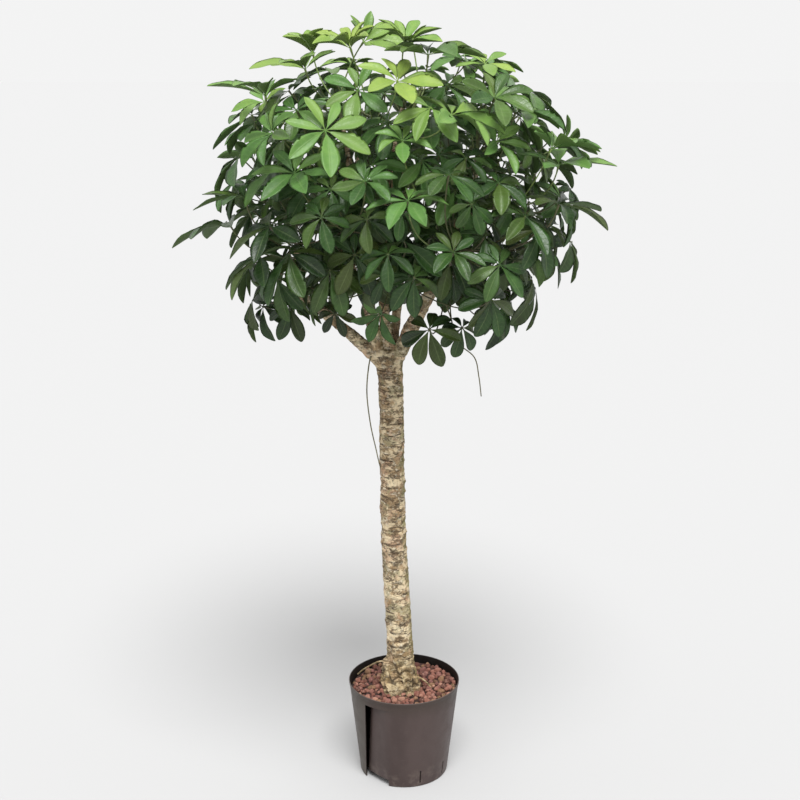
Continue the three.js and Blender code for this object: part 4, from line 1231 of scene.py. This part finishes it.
def build_pot():
    """The wall as an outer and an inner skin on one grid of turns and levels."""
    turns = wall_turns()
    grid = [(t, z) for z in POT_LEVELS for t in turns]
    points = [wall_place(t, z, edge_round(z), depth_at(t, z)) for t, z in grid]
    points += [wall_place(t, z, POT_WALL - rim_inset(z), inner_depth(t, z)) for t, z in grid]
    faces = pot_faces(turns)
    inner = len(grid)
    # painted shade at each point: from shade_at on the outer skin, and INSIDE_SHADE over the whole inner
    # skin
    shades = np.array([shade_at(t + SHADE_OFFSET, z) for t, z in grid] + [INSIDE_SHADE] * inner)
    builder = Builder()
    builder.add(np.array(points, float), faces, recess=shades)
    # faces deep in the slot take a copy of the plastic without reflection, so that their painted shade stays
    # black
    builder.materials = [int(min(shades[face]) > SLOT_SHADE and max(face) < inner) for face in faces]
    materials = [pot_material("pot_plastic", PLASTIC_SPECULAR), pot_material("pot_slot_shade", 0.0)]
    piece = builder.build("pot_wall", materials)
    bm = bmesh.new()
    bm.from_mesh(piece.data)
    bmesh.ops.delete(bm, geom=[v for v in bm.verts if not v.link_faces], context="VERTS")
    bmesh.ops.recalc_face_normals(bm, faces=bm.faces)
    for edge in bm.edges:
        edge.smooth = len(edge.link_faces) != 2 or edge.calc_face_angle(0) < CREASE
    bm.to_mesh(piece.data)
    bm.free()
    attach(piece, "root")
    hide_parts("pot")


def pot_material(name, specular):
    """Matte brown-grey plastic: flow marks, grain, dust near the foot, rubbed edges, a painted sheen on the
    left side, and painted shade in the groove, its notch and inside the wall.
    """
    g = Graph(name)
    g.shader.inputs["Specular IOR Level"].default_value = specular
    flow = g.noise(14, 3, (1, 1, 0.35))
    colour = g.blend(g.fade(flow, 0.35, 0.65), (0.050, 0.033, 0.030), (0.068, 0.047, 0.043))
    x, _, z = g.axes(g.place)
    # painted sheen: the left side of the wall paler and greener
    colour = g.blend(g.fade(x, -0.066, -0.084, 0, 0.5), colour, (0.088, 0.082, 0.064))
    dust = g.times(g.fade(z, 0.06, 0.0), g.fade(g.noise(60, 5), 0.45, 0.7))
    colour = g.blend(g.times(dust, 0.35), colour, (0.21, 0.17, 0.14))
    colour = g.blend(g.fade(z, 0.15, 0.19, 0, 0.55), colour, (0.034, 0.024, 0.016))
    rim = g.fade(z, 0.1925, 0.1938)
    colour = g.blend(g.times(rim, 0.35), colour, (0.17, 0.13, 0.12))
    scuffs = g.fade(g.noise(90, 6, (1, 1, 6)), 0.62, 0.72)
    colour = g.blend(g.times(scuffs, 0.2), colour, (0.15, 0.12, 0.11))
    # painted shade: towards near-black by the recess value
    recess = g.times(g.fade(g.value("recess"), 0.1, 1.0), 0.985)
    colour = g.blend(recess, colour, (0.0022, 0.0016, 0.0012))
    roughness = g.plus(g.fade(g.noise(50, 3), 0.3, 0.7, 0.42, 0.54), g.times(scuffs, 0.1))
    return g.finish(colour, roughness, g.bump(g.noise(900, 3), 0.0003, 0.5))


build_pot()

# The clay granules

PEBBLE_TRIES = 9000
PEBBLE_RADIUS = (3.8, 8.2)
PEBBLE_APART = 0.84
PEBBLE_LIFT = (-3, 3.5)
PEBBLE_RELIEF = 0.32
PEBBLE_LUMPS = [(1.1, 1), (3, 0.4)]  # waves over the radius, and height
PEBBLE_SINK = 0.5
LEAST_SHARE = 0.04
PEBBLE_MARGIN = 1
PEBBLE_FLATTEN = (0.72, 1.0)
PEBBLE_SEED = 5
BED_FOOT = 2.5
BED_SHOULDER = 172
BED_GAP = 0.4
BED_SHARES = [1, 0.99, 0.94, 0.86, 0.76, 0.64, 0.5, 0.36]
BED_DROP = 1.5
BED_RELIEF = 2
BED_WAVE = 0.12
TRUNK_ROOM = -2
TRUNK_FOOT_X = -4


def pebble_places(draw):
    """Places and radii of granules that cover the bed between the trunk and the wall."""
    places = []
    for _ in range(PEBBLE_TRIES):
        radius = draw.uniform(*PEBBLE_RADIUS)
        turn = draw.uniform(-180, 180)
        out = math.sqrt(draw.uniform(LEAST_SHARE, 1)) * POT_RIM_RADIUS
        z = bed_level(out, turn) + draw.uniform(*PEBBLE_LIFT)
        limit = wall_radius(z) - POT_WALL - radius - PEBBLE_MARGIN
        spread = math.degrees(radius / max(out, 1))
        limit -= max(depth_at(turn + step, z) for step in (-spread, 0, spread))
        place = np.array(wall_place(turn, z, 0))
        place[:2] *= out / norm(place[:2])
        x, y = place[0] - TRUNK_FOOT_X, place[1]
        _, size, flare = trunk_at(z)
        room = size + flare * flare_at(math.degrees(math.atan2(y, x))) + TRUNK_ROOM + radius * PEBBLE_SINK
        if out > limit or math.hypot(x, y) < room:
            continue
        if all(norm(place - other) > PEBBLE_APART * (radius + size) for other, size in places):
            places.append((place, radius))
    return places


def pebble_ball():
    """The points and faces of a ball of radius 1."""
    bm = bmesh.new()
    bmesh.ops.create_icosphere(bm, subdivisions=3, radius=1)
    points = np.array([v.co for v in bm.verts])
    faces = [[v.index for v in face.verts] for face in bm.faces]
    bm.free()
    return points, faces


def bed_level(out, turn):
    """The height of the bed at so far from the pot's axis, and in which direction."""
    towards_mound = math.cos(math.radians(turn - GRANULE_MOUND_TURN))
    return GRANULE_LEVEL + GRANULE_MOUND * out / POT_RIM_RADIUS * towards_mound


def add_bed(builder):
    """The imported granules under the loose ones: a body inside the wall with an uneven top."""
    turns = wall_turns()
    levels = [z for z in POT_LEVELS if BED_FOOT < z < BED_SHOULDER]
    levels.append(BED_SHOULDER)
    rings = [[wall_place(t, z, POT_WALL + BED_GAP, inner_depth(t, z)) for t in turns] for z in levels]
    edge = np.array(rings.pop())  # the shoulder, from which the top runs inwards
    for share in BED_SHARES:
        ring = edge * [share, share, 1]
        for point, t in zip(ring, turns):
            out = math.hypot(point[0], point[1])
            bump = noise.noise(Vector((point[0], point[1], 0)) * BED_WAVE)
            point[2] = bed_level(out, t) - BED_DROP + BED_RELIEF * bump
        rings.append(ring)
    builder.add(np.concatenate(rings), skin_faces(len(rings), len(turns)), material=1)


def build_granules():
    """Loose granules, each lumpy, flattened and turned its own way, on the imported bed."""
    draw = np.random.default_rng(PEBBLE_SEED)
    ball, faces = pebble_ball()
    builder = Builder()
    for place, radius in pebble_places(draw):
        offset = Vector(draw.uniform(0, 100, 3))
        lumps = sum(
            height * np.array([noise.noise(Vector(p) * scale + offset) for p in ball])
            for scale, height in PEBBLE_LUMPS
        )
        flat = np.array([1, draw.uniform(*PEBBLE_FLATTEN), draw.uniform(*PEBBLE_FLATTEN)])
        turned = np.array(Vector(draw.uniform(-1, 1, 3)).to_track_quat("Z", "Y").to_matrix())
        shape = (ball * (1 + PEBBLE_RELIEF * lumps)[:, None] * flat) @ turned.T
        builder.add(place + shape * radius, faces, tone=draw.uniform(0, 1), hue=draw.uniform(0, 1))
    add_bed(builder)
    piece = builder.build("clay_pebbles", [clay_material("clay"), clay_material("clay_bed", deep=True)])
    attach(piece, "root")
    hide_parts("clay_granules")


def clay_material(name, deep=False):
    """Fired clay: each granule has its own red-brown, with patches of pale dust and fine pores."""
    g = Graph(name)
    colour = g.ramp(g.value("tone"), [
        (0.0, (0.085, 0.033, 0.023)), (0.45, (0.180, 0.067, 0.046)),
        (0.8, (0.275, 0.116, 0.082)), (1.0, (0.380, 0.205, 0.140)),
    ])
    colour = g.blend(g.fade(g.value("hue"), 0.25, 0.15, 0, 0.6), colour, (0.190, 0.080, 0.070))
    colour = g.blend(g.fade(g.value("hue"), 0.78, 0.86, 0, 0.6), colour, (0.220, 0.140, 0.065))
    colour = g.blend(g.fade(g.noise(240, 4), 0.5, 0.7, 0, 0.45), colour, (0.460, 0.270, 0.200))
    pores = g.fade(g.cells(900), 0.0, 0.28, 1, 0)
    colour = g.blend(g.times(pores, 0.5), colour, (0.05, 0.025, 0.02))
    if deep:
        # painted shade: the bed darkens to near-black below its top, where it shows between the loose
        # granules
        depth = g.fade(g.axes(g.place)[2], 0.181, 0.170, 0.5, 0.97)
        colour = g.blend(depth, colour, (0.010, 0.006, 0.004))
    height = g.minus(g.noise(500, 4), g.times(pores, 0.6))
    return g.finish(colour, g.fade(g.noise(300, 2), 0.3, 0.7, 0.85, 1.0), g.bump(height, 0.0008, 0.8))


build_granules()

# The camera

CAMERA_PLACE = (-0.008, -2.5, 1.469)
CAMERA_PITCH = 15.6
CAMERA_LENS = 61.92
SENSOR = 36

camera = put("camera", bpy.data.cameras.new("camera"))
camera.location = CAMERA_PLACE
camera.rotation_euler = (math.radians(90 - CAMERA_PITCH), 0, 0)
camera.data.lens = CAMERA_LENS
camera.data.sensor_width = SENSOR
camera.data.clip_end = 100
bpy.context.scene.camera = camera

# The floor and the light

FLOOR_SIZE = 60
FLOOR_PALE = (0.47, 0.47, 0.47)
FLOOR_GRAIN = (0.41, 0.41, 0.41)
SKY_STRENGTH = 0.9
SUN_STRENGTH = 3.6
SUN_ANGLE = 32
SUN_WAY = (-0.08, 0.55, -1)


def build_floor():
    g = Graph("floor", 0.9)
    g.shader.inputs["Specular IOR Level"].default_value = 0
    grain = g.fade(g.noise(300, 2), 0.3, 0.7, 0.0, 0.01)
    g.finish(g.blend(grain, FLOOR_PALE, FLOOR_GRAIN))
    mesh = bpy.data.meshes.new("floor")
    half = FLOOR_SIZE / 2
    corners = [(-half, -half, 0), (half, -half, 0), (half, half, 0), (-half, half, 0)]
    mesh.from_pydata(corners, [], [[0, 1, 2, 3]])
    mesh.materials.append(g.material)
    floor = put("floor", mesh)


def build_light():
    world = bpy.data.worlds.new("studio")
    world.use_nodes = True
    sky = world.node_tree.nodes["Background"]
    sky.inputs["Color"].default_value = (1, 1, 1, 1)
    sky.inputs["Strength"].default_value = SKY_STRENGTH
    bpy.context.scene.world = world
    light = bpy.data.lights.new("softbox", "SUN")
    light.energy = SUN_STRENGTH
    light.angle = math.radians(SUN_ANGLE)
    lamp = put("softbox", light)
    lamp.rotation_euler = Vector(SUN_WAY).to_track_quat("-Z", "Y").to_euler()


build_floor()
build_light()
bpy.context.scene.view_settings.view_transform = "Standard"
